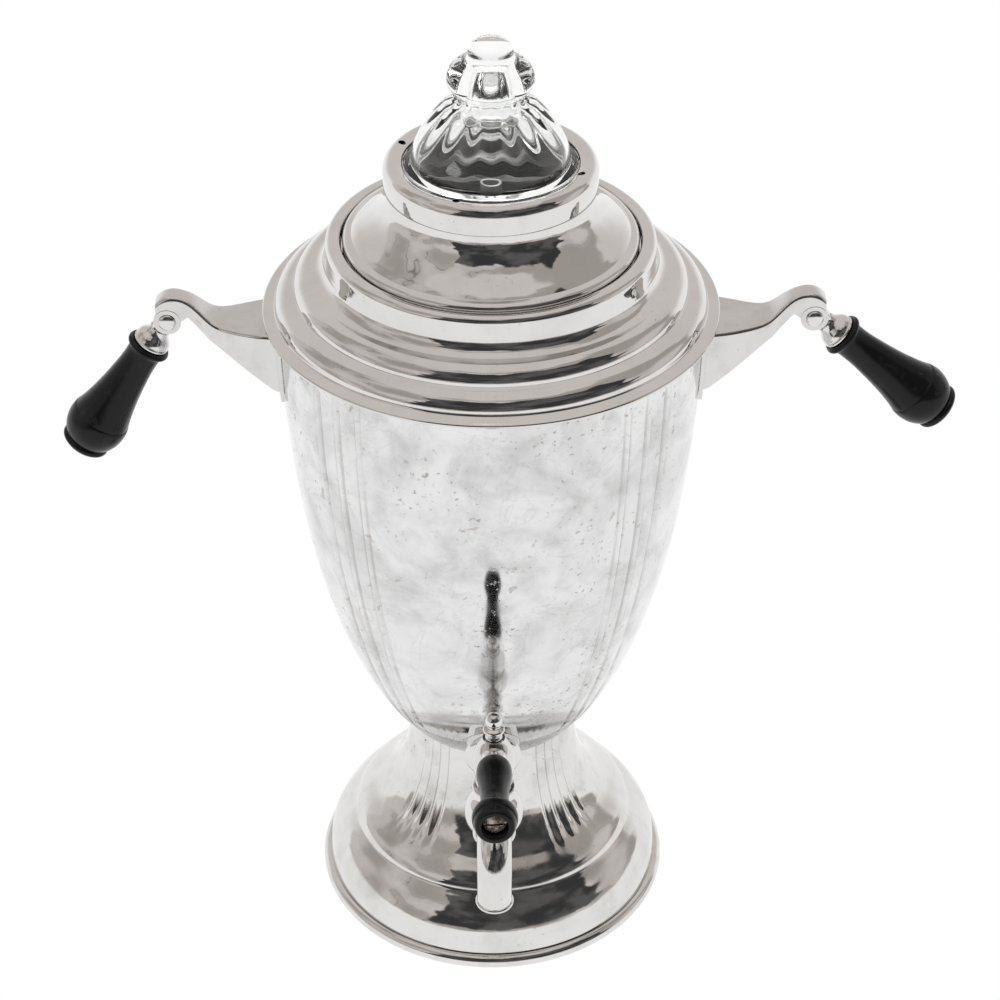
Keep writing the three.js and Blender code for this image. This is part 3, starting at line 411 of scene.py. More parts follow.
bright_chrome = chrome_finish("bright_chrome", haze=0.045, wear=0.45, pits=0.6)
foot_chrome = chrome_finish("foot_chrome", haze=0.06, wear=0.8, pits=0.9, worn_above=0.047)


def foot_ring():
    r = radius_of("foot_ring")
    lip = radius_of("foot_shell") - 1.5
    return turned([
        (r - 7, 5.6, 0.3), (r - 7.1, 0.2, 0.4),
        (r - 3.2, 0),
        *arc(r - 3.2, 3.25, 3.2, 3.25, -85, 85, 12),
        (lip, 6.5, 0.2), (lip, 10, 0.3), (lip - 1.2, 10, 0.3), (lip - 1.2, 5.6, 0.4),
    ], 160)


place("foot_bead", foot_ring(), foot_chrome, "body", "chrome", ["foot_ring"])

# ---- Foot shell -----------------------------------------------------------------------------
# One spun shell from the waist to the foot: an upright band, two convex steps, then a hollow
# sweep up to the stem. Four groups of pressed flutes run down the stem and fade into the sweep.

WALL = 1.2
FLUTE_GROUPS = 4
FLUTE_SPACING = math.radians(7.6)
FIRST_GROUP = math.radians(45)


def from_group(angle):
    """The angle from the middle of the nearest group of flutes or ribs."""
    quarter = 2 * math.pi / FLUTE_GROUPS
    return (angle - FIRST_GROUP + quarter / 2) % quarter - quarter / 2


def smooth(low, high, value):
    t = min(max((value - low) / (high - low), 0), 1)
    return t * t * (3 - 2 * t)


def gather(bm, share, reach):
    """Turns the columns of vertices so that this share of them lies within reach of a group."""
    quarter = math.pi / FLUTE_GROUPS
    for v in bm.verts:
        side = from_group(math.atan2(v.co.y, v.co.x))
        near = min(abs(side), quarter * share)
        moved = near * reach / (quarter * share)
        moved += (abs(side) - near) * (quarter - reach) / (quarter * (1 - share))
        turn = math.copysign(moved, side) - side
        v.co.xy = Vector((v.co.x, v.co.y)) @ Matrix.Rotation(-turn, 2)


def push_out(bm, depth):
    """Moves each vertex away from the axis by depth(angle, radius, height)."""
    for v in bm.verts:
        r = math.hypot(v.co.x, v.co.y)
        angle = math.atan2(v.co.y, v.co.x)
        out = depth(angle, r, v.co.z)
        v.co.x += out * math.cos(angle)
        v.co.y += out * math.sin(angle)


def foot_flutes(angle, r, z):
    side = from_group(angle)
    wave = 0.5 + 0.5 * math.cos(2 * math.pi * side / FLUTE_SPACING)
    across = 1 - smooth(1.6 * FLUTE_SPACING, 2.0 * FLUTE_SPACING, abs(side))
    along = smooth(37.5, 50, z) * (1 - smooth(84, 87, z))
    return (wave - 0.62) * 1.5 * across * along


def foot_shell():
    low, high = span("foot_shell")
    r = high[0]
    top = high[2]
    step = r - 11.6
    waist = 34.4
    outside = [
        (r, low[2]),
        (r - 0.2, low[2] + 4),
        (r - 0.8, 15.2, 0.5),
        *curve((r - 1.3, 17), (r - 2.8, 21), (r - 6.2, 26.4), (step + 0.2, 30.3), 12),
        *curve((step - 0.3, 30.8), (step - 1.1, 34.6), (step - 5.2, 37.7), (step - 9.3, 40.7), 10),
        *curve((step - 9.3, 40.7), (step - 16.4, 46.2), (waist + 0.2, 60), (waist, top), 26)[1:],
    ]
    inside = [(point[0] - WALL, point[1]) for point in reversed(outside)]
    bm = turned([*outside, *inside], 400)
    push_out(bm, foot_flutes)
    return bm


place("foot", foot_shell(), foot_chrome, "body", "chrome", ["foot_shell"], 40)

# ---- Tank -----------------------------------------------------------------------------------
# An egg-shaped vessel of spun brass, chromed and long since hazed, with four groups of three
# raised ribs that run down to the waist and die out there.

tank_low, tank_high = span("tank")
tank_r = tank_high[0]
waist_z = tank_low[2] + 4
tank_side = curve((37, waist_z), (tank_r - 10.5, waist_z + 42),
                  (tank_r - 0.5, waist_z + 127), (tank_r, tank_high[2]), 48)
RIB_HALF = 1.3


def rib_offset(angle, r):
    """The distance around the tank from the nearest rib's middle."""
    side = from_group(angle)
    nearest = max(-1, min(1, round(side / FLUTE_SPACING)))
    return (side - FLUTE_SPACING * nearest) * r


def rib_length(z):
    return smooth(92, 118, z) * (1 - smooth(tank_high[2] - 7, tank_high[2] - 3, z))


def tank_ribs(angle, r, z):
    away = abs(rib_offset(angle, r))
    ridge = max(0, 1 - (away / RIB_HALF) ** 2) ** 1.2
    groove = math.exp(-((away - RIB_HALF - 0.5) / 0.5) ** 2)
    outside = 1 if r > tank_radius(z) - 0.6 else 0
    return (0.7 * ridge - 0.22 * groove) * rib_length(z) * outside


def tank_radius(z):
    return interpolate([(height, r) for r, height in tank_side], z)


def interpolate(table, x):
    for (x0, y0), (x1, y1) in zip(table, table[1:]):
        if x <= x1:
            return y0 + (y1 - y0) * max(0, (x - x0) / (x1 - x0))
    return table[-1][1]


def tank():
    floor = tank_low[2]
    neck = 32.9
    inside = [(r - WALL, z + 0.2) for r, z in reversed(tank_side[1:-1:3])]
    bm = turned([
        (0, floor),
        (neck, floor),
        (neck, waist_z - 0.1, 0.4),
        (36.4, waist_z - 0.05),
        (36.9, waist_z + 0.1),
        *tank_side[1:],
        (tank_r - WALL, tank_high[2]),
        *inside,
        (neck - WALL, waist_z + WALL),
        (neck - WALL, floor + WALL),
        (0, floor + WALL),
    ], 720, closed=False)
    gather(bm, 0.5, math.radians(11))
    # A weight that is highest in the crease at the foot of each rib, used to darken the plate there.
    dirt = bm.verts.layers.float.new("dirt")
    for v in bm.verts:
        r = math.hypot(v.co.x, v.co.y)
        away = abs(rib_offset(math.atan2(v.co.y, v.co.x), r))
        v[dirt] = math.exp(-((away - RIB_HALF - 0.2) / 0.45) ** 2) * rib_length(v.co.z)
    push_out(bm, tank_ribs)
    return bm


def hazed_chrome():
    """The tank's plate: cloudy, with tide marks, specks and scars, and a grey band at the foot that is a
    painted reflection of the dark foot.
    """
    finish = Finish("hazed_chrome")
    clouds = finish.noise(26.0, detail=8.0, roughness=0.64, distortion=0.9).rise(0.38, 0.68)
    film = finish.noise(70.0, detail=7.0, roughness=0.62, distortion=0.4).rise(0.42, 0.70)
    pool = finish.noise(19.0, detail=7.0, roughness=0.60, distortion=1.2)
    tide = 1 - abs(pool - 0.53).rise(0.0, 0.010)
    specks = finish.noise(430.0, detail=4.0).rise(0.60, 0.69)
    crowd = finish.noise(24.0, detail=5.0, roughness=0.6).rise(0.44, 0.62)
    spots = specks * crowd
    scars = finish.noise(120.0, detail=6.0, roughness=0.6, distortion=0.5).rise(0.655, 0.69)
    runs = finish.noise(60.0, detail=4.0, stretch=(1, 1, 0.12)).rise(0.60, 0.72)
    dirt = finish.node("ShaderNodeAttribute", {"attribute_name": "dirt"}, output="Fac")
    patchy = finish.noise(90.0, detail=4.0, stretch=(1, 1, 0.25)).rise(0.30, 0.62)
    marks = clouds * 0.40 + film * 0.34 + runs * 0.2
    colour = finish.blend(marks, (0.80, 0.80, 0.803), (0.46, 0.458, 0.455))
    colour = finish.blend(tide * 0.28, colour, (0.50, 0.48, 0.46))
    colour = finish.blend(scars * 0.6, colour, (0.45, 0.42, 0.39))
    colour = finish.blend(spots * 0.75, colour, (0.36, 0.31, 0.26))
    # Darker in patches along the crease at the foot of each rib.
    colour = finish.blend(dirt * patchy * 0.55, colour, (0.36, 0.33, 0.30))
    # Painted reflection: a dark grey band from the waist to about 14 mm above it stands in for the dark foot
    # and its shadow mirrored in the plate.
    height = finish.axes()[2] + (pool - 0.5) * 0.006
    under = 1 - height.rise(waist_z / 1000 + 0.0135, waist_z / 1000 + 0.0150)
    colour = finish.blend(under * 0.62, colour, (0.20, 0.20, 0.202))
    grain = finish.noise(520.0, detail=3.0)
    roughness = 0.055 + clouds * 0.09 + film * 0.05 + scars * 0.2 + spots * 0.3
    relief = grain * 0.03 + scars * -0.3 + spots * -0.3 + finish.noise(12.0, detail=2.0) * 0.8
    return finish.set(
        Base_Color=colour,
        Metallic=1.0,
        Roughness=roughness,
        Normal=finish.bump(relief, 0.16, 0.0006),
    )


tank_chrome = hazed_chrome()
place("tank_body", tank(), tank_chrome, "body", "chrome", ["tank"], 60)

# ---- Shoulder -------------------------------------------------------------------------------
# A spun collar with a rolled rim, two convex rolls, a cove and a beaded neck that holds the lid.


def shoulder():
    low, high = span("shoulder")
    rim = high[0]
    top = high[2]
    under = tank_high[2] + 0.3
    skirt = tank_r - 2.4
    crease = under + 2.6
    roll = 7
    second = rim - 4.8
    first = second - roll
    cove = first - roll
    neck = 62.9
    seat = top - 4
    mouth = 54.5
    return turned([
        (skirt - WALL, low[2], 0.3), (skirt, low[2], 0.3), (skirt, under, 0.3),
        *arc(rim - 0.85, under + 0.85, 0.85, 0.85, -90, 90, 8),
        (rim - 2.4, under + 1.9),
        (second + 0.3, crease - 0.1, 0.3),
        *arc(first, crease, roll, roll, 4, 86, 14),
        *arc(cove, crease + roll, roll - 0.5, roll, 4, 90, 16),
        *arc(cove, crease + 2 * roll + 6, 6, 6, -92, -176, 12),
        (neck, crease + 2 * roll + 6.6), (neck, top - 3.6),
        *arc(neck - 2.6, top - 2.8, 2.6, 2.8, 10, 90, 8),
        *arc(neck - 4.2, top - 1.6, 1.6, 1.6, 95, 180, 6),
        (neck - 5.8, seat, 0.3), (mouth, seat, 0.4),
        (mouth, seat - WALL, 0.4), (neck - 2.2, seat - WALL, 0.4),
        (neck - 1.6, crease + 2 * roll + 4, 1), (cove, crease + 2 * roll - 1.4, 1),
        (first - 2.2, crease + roll + 2, 2), (first - 1.4, crease + roll - 1.4, 1),
        (second - 2.4, crease + 2, 2), (skirt - WALL, under + 1.4, 1),
    ], 192)


place("collar", shoulder(), bright_chrome, "body", "chrome", ["shoulder"], 28)

# ---- Handle brackets ------------------------------------------------------------------------
# Each is a channel folded from sheet and chromed: a curved strap on top, two tapering cheeks
# that end in raised round ears, and a pad soldered to the tank.


def joint_place(name):
    """Where a joint turns, in millimetres."""
    joint = next(j for j in frame["joints"] if j["name"] == name)
    return [v * 1000 for v in joint["pos_m"]]


hinge_x, _, hinge_z = joint_place("right_handle_swing")
EAR_R = 5.3
EAR_PROUD = 0.2
CHEEK_R = EAR_R - 0.5
EAR_HALF = 4.5
SHEET = 1.5
FOLD = 1.8
LIP_H = 5.2

strap_line = (
    curve((tank_r - 3, hinge_z), (hinge_x - 32, hinge_z - 0.3), (hinge_x - 26, hinge_z - 0.9),
          (hinge_x - 20.5, hinge_z), 8)
    + curve((hinge_x - 20.5, hinge_z), (hinge_x - 14.5, hinge_z + 1.2), (hinge_x - 12.5, hinge_z + 7.4),
            (hinge_x - 6.4, hinge_z + 9.9), 10)[1:]
    + curve((hinge_x - 6.4, hinge_z + 9.9), (hinge_x - 2.4, hinge_z + 11.6), (hinge_x + 1.6, hinge_z + 10.6),
            (hinge_x + 4.2, hinge_z + 7.4), 8)[1:]
)
half_widths = [(tank_r - 4, 15.5), (tank_r + 2, 15.4)] + curve(
    (tank_r + 2, 15.4), (tank_r + 14, 13.4), (hinge_x - 20, 7.4), (hinge_x - 7, EAR_HALF), 12)[1:]


def cheek_foot(x):
    """The height of a cheek's lower edge: a straight gusset, a notch, then the ear."""
    from_pin = x - hinge_x
    if from_pin > -CHEEK_R:
        return hinge_z - math.sqrt(CHEEK_R ** 2 - from_pin ** 2)
    if from_pin > -8.3:
        return hinge_z + 2.4 - (from_pin + 8.3) * 0.8
    edge = [(tank_r - 1, hinge_z - 27), (hinge_x - 15.7, hinge_z - 6.8), (hinge_x - 8.3, hinge_z + 2.4)]
    return interpolate(edge, x)


def bracket_section(x, top):
    """The channel's outline at one place along the strap: round the outside, back inside."""
    w = interpolate(half_widths, x)
    inset = 1 - smooth(hinge_x - 15, hinge_x - 9, x)
    foot = cheek_foot(x)
    lip = top - LIP_H
    levels = [foot + (lip - foot) * k / 4 for k in range(5)]
    fold = (-w + FOLD, top - FOLD)
    outer = [(-w + inset, z) for z in levels] + [(-w, lip + 0.5)]
    outer += arc(*fold, FOLD, FOLD, 180, 90, 5)
    inner = [(-w + inset + SHEET, z) for z in levels] + [(-w + SHEET, lip + 0.5)]
    inner += arc(*fold, FOLD - SHEET, FOLD - SHEET, 180, 90, 5)
    outside = outer + [(-y, z) for y, z in reversed(outer)]
    return outside + [(-y, z) for y, z in inner] + inner[::-1]


def soften(bm, offset, segments):
    """Bevels each edge that turns by more than 60 degrees."""
    sharp = [e for e in bm.edges if e.calc_face_angle(0) > math.radians(60)]
    bmesh.ops.bevel(bm, geom=sharp, offset=offset, segments=segments, affect="EDGES",
                    profile=0.5, material=-1)
    return bm


def channel():
    """The section at the tank, pulled out along the strap to its nose."""
    bm = bmesh.new()
    x, top = strap_line[0]
    row = [bm.verts.new((x, y, z)) for y, z in bracket_section(x, top)]
    for pair in zip(row, row[1:] + row[:1]):
        bm.edges.new(pair)
    for x, top in strap_line[1:]:
        edges = [bm.edges.get(pair) for pair in zip(row, row[1:] + row[:1])]
        fresh = {v.co.to_tuple(5): v for v in verts_of(bmesh.ops.extrude_edge_only(bm, edges=edges))}
        row = [fresh[v.co.to_tuple(5)] for v in row]
        for v, (y, z) in zip(row, bracket_section(x, top)):
            v.co = (x, y, z)
    bmesh.ops.holes_fill(bm, edges=bm.edges, sides=0)
    return soften(clean(bm), 0.15, 2)


def ear(side):
    """A round ear about the hinge, that stands a little proud of its cheek on both faces."""
    half = SHEET / 2 + EAR_PROUD
    disc = turned([(0, -half), (EAR_R, -half, 0.15), (EAR_R, half, 0.15), (0, half)], 64, closed=False)
    middle = (hinge_x, side * (EAR_HALF - SHEET / 2), hinge_z)
    return carry(disc, Matrix.Rotation(math.pi / 2, 3, "X"), middle)


def bracket():
    bm = solid_union("bracket", [channel(), ear(-1), ear(1)])
    bmesh.ops.holes_fill(bm, edges=[e for e in bm.edges if e.is_boundary], sides=0)
    return bm


def solid_union(name, parts, hole_parts=()):
    """Joins bmeshes into one closed skin, and cuts others out of it."""
    def helper(bm, label):
        mesh = bpy.data.meshes.new(label)
        bm.to_mesh(mesh)
        bm.free()
        thing = bpy.data.objects.new(label, mesh)
        bpy.context.scene.collection.objects.link(thing)
        return thing

    base = helper(parts[0], name + "_base")
    helpers = []
    for operation, group in (("UNION", parts[1:]), ("DIFFERENCE", hole_parts)):
        for bm in group:
            other = helper(bm, name + "_tool")
            helpers.append(other)
            modifier = base.modifiers.new(operation.lower(), "BOOLEAN")
            modifier.operation = operation
            modifier.object = other
            modifier.solver = "EXACT"
    bpy.context.view_layer.update()
    evaluated = base.evaluated_get(bpy.context.evaluated_depsgraph_get())
    result = bmesh.new()
    result.from_mesh(evaluated.to_mesh())
    evaluated.to_mesh_clear()
    for thing in [base, *helpers]:
        mesh = thing.data
        bpy.data.objects.remove(thing)
        bpy.data.meshes.remove(mesh)
    bmesh.ops.remove_doubles(result, verts=result.verts, dist=1e-4)
    bmesh.ops.dissolve_degenerate(result, dist=1e-4, edges=result.edges)
    return result


def bracket_pad():
    """A strip of the tank's own curve, stood off by the solder."""
    low_z = hinge_z - 28.5
    high_z = hinge_z + 0.2
    steps = 8
    heights = [low_z + (high_z - low_z) * i / steps for i in range(steps + 1)]
    outer = [(tank_radius(z) + 1.7, z) for z in heights]
    inner = [(tank_radius(z) + 0.15, z) for z in reversed(heights)]
    bm = bmesh.new()
    verts = [bm.verts.new((r, 0, z)) for r, z in rounded([(*p, 0.5) if i in (0, steps) else p
                                                         for i, p in enumerate(outer)] + inner)]
    edges = [bm.edges.new(pair) for pair in zip(verts, verts[1:] + verts[:1])]
    half_angle = 17.4 / tank_r
    bmesh.ops.rotate(bm, verts=verts, cent=(0, 0, 0), matrix=Matrix.Rotation(-half_angle, 3, "Z"))
    bmesh.ops.spin(bm, geom=verts + edges, cent=(0, 0, 0), axis=(0, 0, 1),
                   angle=2 * half_angle, steps=20, use_merge=False)
    bmesh.ops.holes_fill(bm, edges=bm.edges, sides=0)
    bmesh.ops.triangulate(bm, faces=[f for f in bm.faces if len(f.verts) > 4])
    return clean(bm)


def merged(*parts):
    """Several bmeshes in one."""
    whole = parts[0]
    for part in parts[1:]:
        spare = bpy.data.meshes.new("spare")
        part.to_mesh(spare)
        part.free()
        whole.from_mesh(spare)
        bpy.data.meshes.remove(spare)
    return whole


bracket_chrome = chrome_finish("bracket_chrome", haze=0.09, wear=1.0, pits=0.9, tint=(0.70, 0.69, 0.675))
HALF_TURN = Matrix.Rotation(math.pi, 3, "Z")
SIDES = {"right": None, "left": HALF_TURN}
for side, turn in SIDES.items():
    bm = carry(merged(bracket(), bracket_pad()), turn)
    place(f"handle_bracket_{side}", bm, bracket_chrome, "body", "chrome", [f"bracket_{side}"])

# ---- Hinge pins -----------------------------------------------------------------------------
# Brass rivets, headed over on both sides of the ears and polished with the bracket.


def hinge_pin():
    head = 4.8
    half = [(2.2, head), (3.3, head), *arc(0, head + 0.25, 3.4, 1.35, 0, 90, 8)]
    mirrored = [(r, -z) for r, z in reversed(half)]
    return carry(turned([*mirrored, *half], 48, closed=False), Matrix.Rotation(math.pi / 2, 3, "X"))


for side, sign in (("right", 1), ("left", -1)):
    bm = carry(hinge_pin(), None, (sign * hinge_x, 0, hinge_z))
    place(f"rivet_{side}", bm, bright_chrome, "body", "chrome", [f"hinge_pin_{side}"])

# ---- Side handles ---------------------------------------------------------------------------
# A chromed ferrule with a flat tongue swings on the rivet. The grip is turned, dyed black and
# polished, and a hidden stud holds it. Both are drawn along +Z from the hinge.

FERRULE_L = 14
TONGUE_HALF = 2.6
GRIP_END = 71.3


def black_finish():
    """Black grips with a soft gloss: fine turning marks, rubbed edges and dull dust."""
    finish = Finish("black_grip")
    rub = finish.noise(60.0, detail=5.0, roughness=0.6).rise(0.48, 0.72)
    dust = finish.noise(240.0, detail=4.0).rise(0.58, 0.70)
    nicks = finish.noise(520.0, detail=2.0, stretch=(1, 0.25, 1)).rise(0.73, 0.77)
    colour = finish.blend(rub * 0.8, (0.004, 0.004, 0.0045), (0.009, 0.0085, 0.0085))
    colour = finish.blend(dust * 0.15, colour, (0.030, 0.028, 0.027))
    colour = finish.blend(nicks * 0.5, colour, (0.07, 0.065, 0.06))
    height = finish.noise(300.0, detail=3.0) * 0.2 + nicks * -0.5
    return finish.set(
        Base_Color=colour,
        Roughness=0.22 + rub * 0.12 + dust * 0.12,
        Specular_IOR_Level=0.22,
        Normal=finish.bump(height, 0.12, 0.0004),
    )


black_grip = black_finish()


def ferrule():
    spool = turned([
        (0, 6.0),
        (3.6, 6.0, 0.4),
        *curve((4.1, 6.3), (4.3, 9.4), (6.5, 9.3), (7.0, 12.2), 14),
        (6.6, 12.7, 0.2),
        (7.2, 13.1, 0.2),
        (7.2, FERRULE_L, 0.4),
        (0, FERRULE_L),
    ], 64, closed=False)
    tongue = bmesh.new()
    eye = [(x, z) for x, z in arc(0, 0, 4.8, 4.8, 180, 360, 24)]
    neck = [(3.1, 7.6), (-3.1, 7.6)]
    verts = [tongue.verts.new((x, -TONGUE_HALF, z)) for x, z in eye + neck]
    face = tongue.faces.new(verts)
    grown = bmesh.ops.extrude_face_region(tongue, geom=[face])
    bmesh.ops.translate(tongue, verts=verts_of(grown), vec=(0, 2 * TONGUE_HALF, 0))
    soften(clean(tongue), 0.5, 3)
    return merged(spool, tongue)


def grip():
    start = FERRULE_L + 0.3
    return turned([
        (0, start),
        (7.9, start, 0.5),
        *arc(6.9, start + 1.5, 1.7, 1.4, -50, 80, 8),
        (7.0, start + 3.3, 0.5),
        *curve((6.9, start + 3.6), (6.6, start + 7), (6.7, start + 11), (7.3, start + 16), 10),
        *curve((7.3, start + 16), (8.0, start + 23), (9.2, start + 32), (11.3, start + 38.8), 14)[1:],
        (11.35, start + 39.4, 0.3),
        *curve((11.7, start + 39.8), (12.5, start + 43), (12.3, start + 47.5), (9.6, start + 51.4), 14),
        (9.0, start + 52.1, 0.3),
        *arc(8.2, start + 53.4, 1.5, 1.5, -60, 60, 8),
        *curve((8.5, start + 55.1), (6.8, GRIP_END - 0.6), (3.5, GRIP_END), (0, GRIP_END), 8),
    ], 96, closed=False)


def hang(bm, side):
    """Lays a piece drawn along +Z onto a side handle, at the angle where its CAD grip rests."""
    low, high = span(f"grip_{side}")
    sign = 1 if side == "right" else -1
    middle = Vector(((low[0] + high[0]) / 2 - sign * hinge_x, 0, (low[2] + high[2]) / 2 - hinge_z))
    droop = math.radians(40 if side == "right" else 57)
    aim = Vector((sign * math.cos(droop), 0, -math.sin(droop)))
    assert middle.angle(aim) < math.radians(4)
    turn = Matrix.Rotation(sign * (math.pi / 2 + droop), 3, "Y")
    return carry(bm, turn, (sign * hinge_x, 0, hinge_z))


for side in SIDES:
    body = f"{side}_handle"
    nodes = [f"grip_{side}", f"grip_stud_{side}"]
    place(f"hand_ferrule_{side}", hang(ferrule(), side), bright_chrome, body, "chrome", [f"ferrule_{side}"])
    place(f"hand_grip_{side}", hang(grip(), side), black_grip, body, "black_grip", nodes)

# ---- Tap body -------------------------------------------------------------------------------
# A cast and turned tap: a flange against the tank, a beaded shank, a ball with a neck for the
# key, and an elbow spout with a rolled lip. Pieces on the water way are drawn along +Z.

_, tap_back, tap_z = joint_place("tap_turn")
tap_y = -tap_back
flange_low, flange_high = span("tap_flange")
flange_front = -flange_low[1]
valve_low, valve_high = span("tap_body")
BALL_R = 11.75
LAY_OVER = Matrix.Rotation(math.pi / 2, 3, "X")


def lay_over(bm):
    return carry(bm, LAY_OVER, (0, 0, tap_z))


def tap_flange():
    """A disc whose back is shaped to the tank."""
    r = (flange_high[0] - flange_low[0]) / 2
    back = flange_front - 20
    rings = [(r, back + (20 - 2.4) * i / 8) for i in range(9)]
    bm = lay_over(turned([
        (5.3, back),
        *rings,
        *arc(r - 2.2, flange_front - 2.2, 2.2, 2.2, 5, 80, 8),
        *curve((r - 2.4, flange_front), (r - 4, flange_front + 0.1), (7.4, flange_front - 0.2),
               (6.6, flange_front + 0.1), 4),
        (5.3, flange_front),
    ], 96))
    for v in bm.verts:
        wall = -math.sqrt(max(tank_radius(v.co.z) ** 2 - v.co.x ** 2, 0)) - 0.1
        v.co.y = min(v.co.y, wall)
    bmesh.ops.dissolve_degenerate(bm, dist=1e-3, edges=bm.edges)
    return bm


def tap_shank():
    start = flange_front + 0.2
    length = tap_y - BALL_R + 1 - start
    bead = length / 3
    outline = [(0, start - 28), (5, start - 28), (5, start), (7.2, start), (7.2, start + 0.6)]
    for i in range(3):
        middle = start + 0.6 + bead * (i + 0.5)
        outline += [(5.0, middle - bead * 0.44)]
        outline += arc(5.0, middle, 1.5, bead * 0.34, -80, 80, 10)
        outline += [(5.0, middle + bead * 0.44)]
    outline += [(5.2, tap_y), (0, tap_y)]
    return lay_over(turned(outline, 72, closed=False))


def tap_ball():
    neck_r = 7.65
    neck_top = valve_high[2] - tap_z
    join = math.degrees(math.acos(neck_r / BALL_R))
    lift = BALL_R * math.sin(math.radians(join))
    foot = valve_low[2] - tap_z
    foot_angle = math.degrees(math.asin(foot / BALL_R))
    foot_r = BALL_R * math.cos(math.radians(foot_angle))
    return carry(turned([
        (0, foot),
        (foot_r, foot),
        *arc(0, 0, BALL_R, BALL_R, foot_angle, join - 5, 30),
        (neck_r + 0.1, lift + 0.5, 1.0), (neck_r, neck_top - 2.4, 0.3),
        *arc(neck_r, neck_top - 1.1, 0.95, 1.05, -75, 75, 8),
        (5.9, neck_top),
        (5.9, neck_top - 1.5),
        (0, neck_top - 1.5),
    ], 96, closed=False), None, (0, -tap_y, tap_z))


def tap_hub():
    front = -valve_low[1]
    return lay_over(turned([
        (0, tap_y),
        (8.3, tap_y),
        (8.5, front, 0.5), (7.2, front, 0.2), (7.2, front - 1.5), (0, front - 1.5),
    ], 72, closed=False))


def tap_spout():
    """A ring drawn at the valve, pushed out, spun through the elbow, dropped, and given a lip."""
    low, high = span("tap_spout")
    reach = -low[1] - 7.4
    r = 6.9
    bend = 11.3
    start = -high[1]
    tip = low[2]
    bm = bmesh.new()
    made = bmesh.ops.create_circle(bm, segments=56, radius=r)
    bmesh.ops.rotate(bm, verts=made["verts"], cent=(0, 0, 0), matrix=LAY_OVER)
    bmesh.ops.translate(bm, verts=made["verts"], vec=(0, -start, tap_z))

    def push(edges, vector):
        grown = bmesh.ops.extrude_edge_only(bm, edges=edges)["geom"]
        verts = [v for v in grown if isinstance(v, bmesh.types.BMVert)]
        bmesh.ops.translate(bm, verts=verts, vec=vector)
        return [e for e in grown if isinstance(e, bmesh.types.BMEdge) and all(v in verts for v in e.verts)]

    ring = push(list(bm.edges), (0, -(reach - bend - start), 0))
    verts = list({v for e in ring for v in e.verts})
    swung = bmesh.ops.spin(bm, geom=verts + ring, cent=(0, -(reach - bend), tap_z - bend), axis=(1, 0, 0),
                           angle=math.pi / 2, steps=18, use_merge=False)["geom_last"]
    ring = [e for e in swung if isinstance(e, bmesh.types.BMEdge)]
    for _ in range(4):
        ring = push(ring, (0, 0, -(tap_z - bend - tip - 1.9) / 4))
    bmesh.ops.recalc_face_normals(bm, faces=bm.faces)
    lip = ((0.35, -0.15), (0.25, -0.3), (0.1, -0.45), (-0.1, -0.45), (-0.3, -0.3), (-0.5, -0.15),
           (-0.9, -0.05), (-0.35, 0.4), (0.0, 9.0))
    for out, up in lip:
        ring = push(ring, (0, 0, up))
        for v in {v for e in ring for v in e.verts}:
            v.co += Vector((v.co.x, v.co.y + reach, 0)).normalized() * out
    bmesh.ops.holes_fill(bm, edges=ring, sides=0)
    bmesh.ops.holes_fill(bm, edges=[e for e in bm.edges if e.is_boundary], sides=0)
    return clean(bm)


place("tap_disc", tap_flange(), bright_chrome, "body", "chrome", ["tap_flange"], 35)
tap_skin = solid_union("tap", [tap_ball(), tap_shank(), tap_hub()])
place("tap_casting", tap_skin, bright_chrome, "body", "chrome", ["tap_body"])
place("tap_elbow", tap_spout(), bright_chrome, "body", "chrome", ["tap_spout"], 40)

# ---- Tap key --------------------------------------------------------------------------------
# The key turns in the ball. Its bell carries a ball finial on top and a turned black lever,
# held by a long slotted screw. A washer and a nut hold it from below.

key_low, key_high = span("tap_plug")
finial_low = span("tap_finial")[0]
bell_top = key_high[2]
bell_foot = valve_high[2] + 0.3
lever_rise = math.radians(7)
LEVER_START = 10
LEVER_END = 52
lever_z = bell_top - 7
LEVER_TURN = Matrix.Rotation(math.pi / 2 - lever_rise, 3, "X")


def on_key(bm):
    return carry(bm, None, (0, -tap_y, 0))


def on_lever(bm):
    return on_key(carry(bm, LEVER_TURN, (0, 0, lever_z)))


def key_bell():
    r = 8.5
    shape = on_key(turned([
        (0, key_low[2]),
        (3.5, key_low[2]),
        (3.5, valve_low[2] + 1),
        (5.5, valve_low[2] + 1),
        (5.5, bell_foot),
        (r - 1.5, bell_foot, 0.4), (r - 1.2, bell_foot + 2, 0.4),
        *curve((r - 1.2, bell_foot + 2.3), (r - 0.9, bell_foot + 7), (r + 0.1, bell_foot + 8.5),
               (r, bell_foot + 12.5), 10),
        *curve((r, bell_foot + 12.5), (r - 0.3, bell_foot + 18.5), (5.6, bell_foot + 21),
               (4.4, bell_top), 14)[1:],
        (0, bell_top),
    ], 80, closed=False))
    boss = on_lever(turned([(0, 2), (5, 2), (5, LEVER_START - 0.3, 0.4),
                            (0, LEVER_START - 0.3)], 48, closed=False))
    return solid_union("key", [shape, boss])


def finial():
    z = finial_low[2]
    return on_key(turned([
        (0, z),
        (3.6, z, 0.3), (2.8, z + 1.5, 0.6), (3.2, z + 2.5),
        *arc(2.9, z + 3.8, 1.45, 1.2, -70, 70, 8),
        (2.5, z + 5.4, 0.4),
        *arc(0, z + 8.2, 3.35, 3.35, -42, 90, 16),
    ], 56, closed=False))


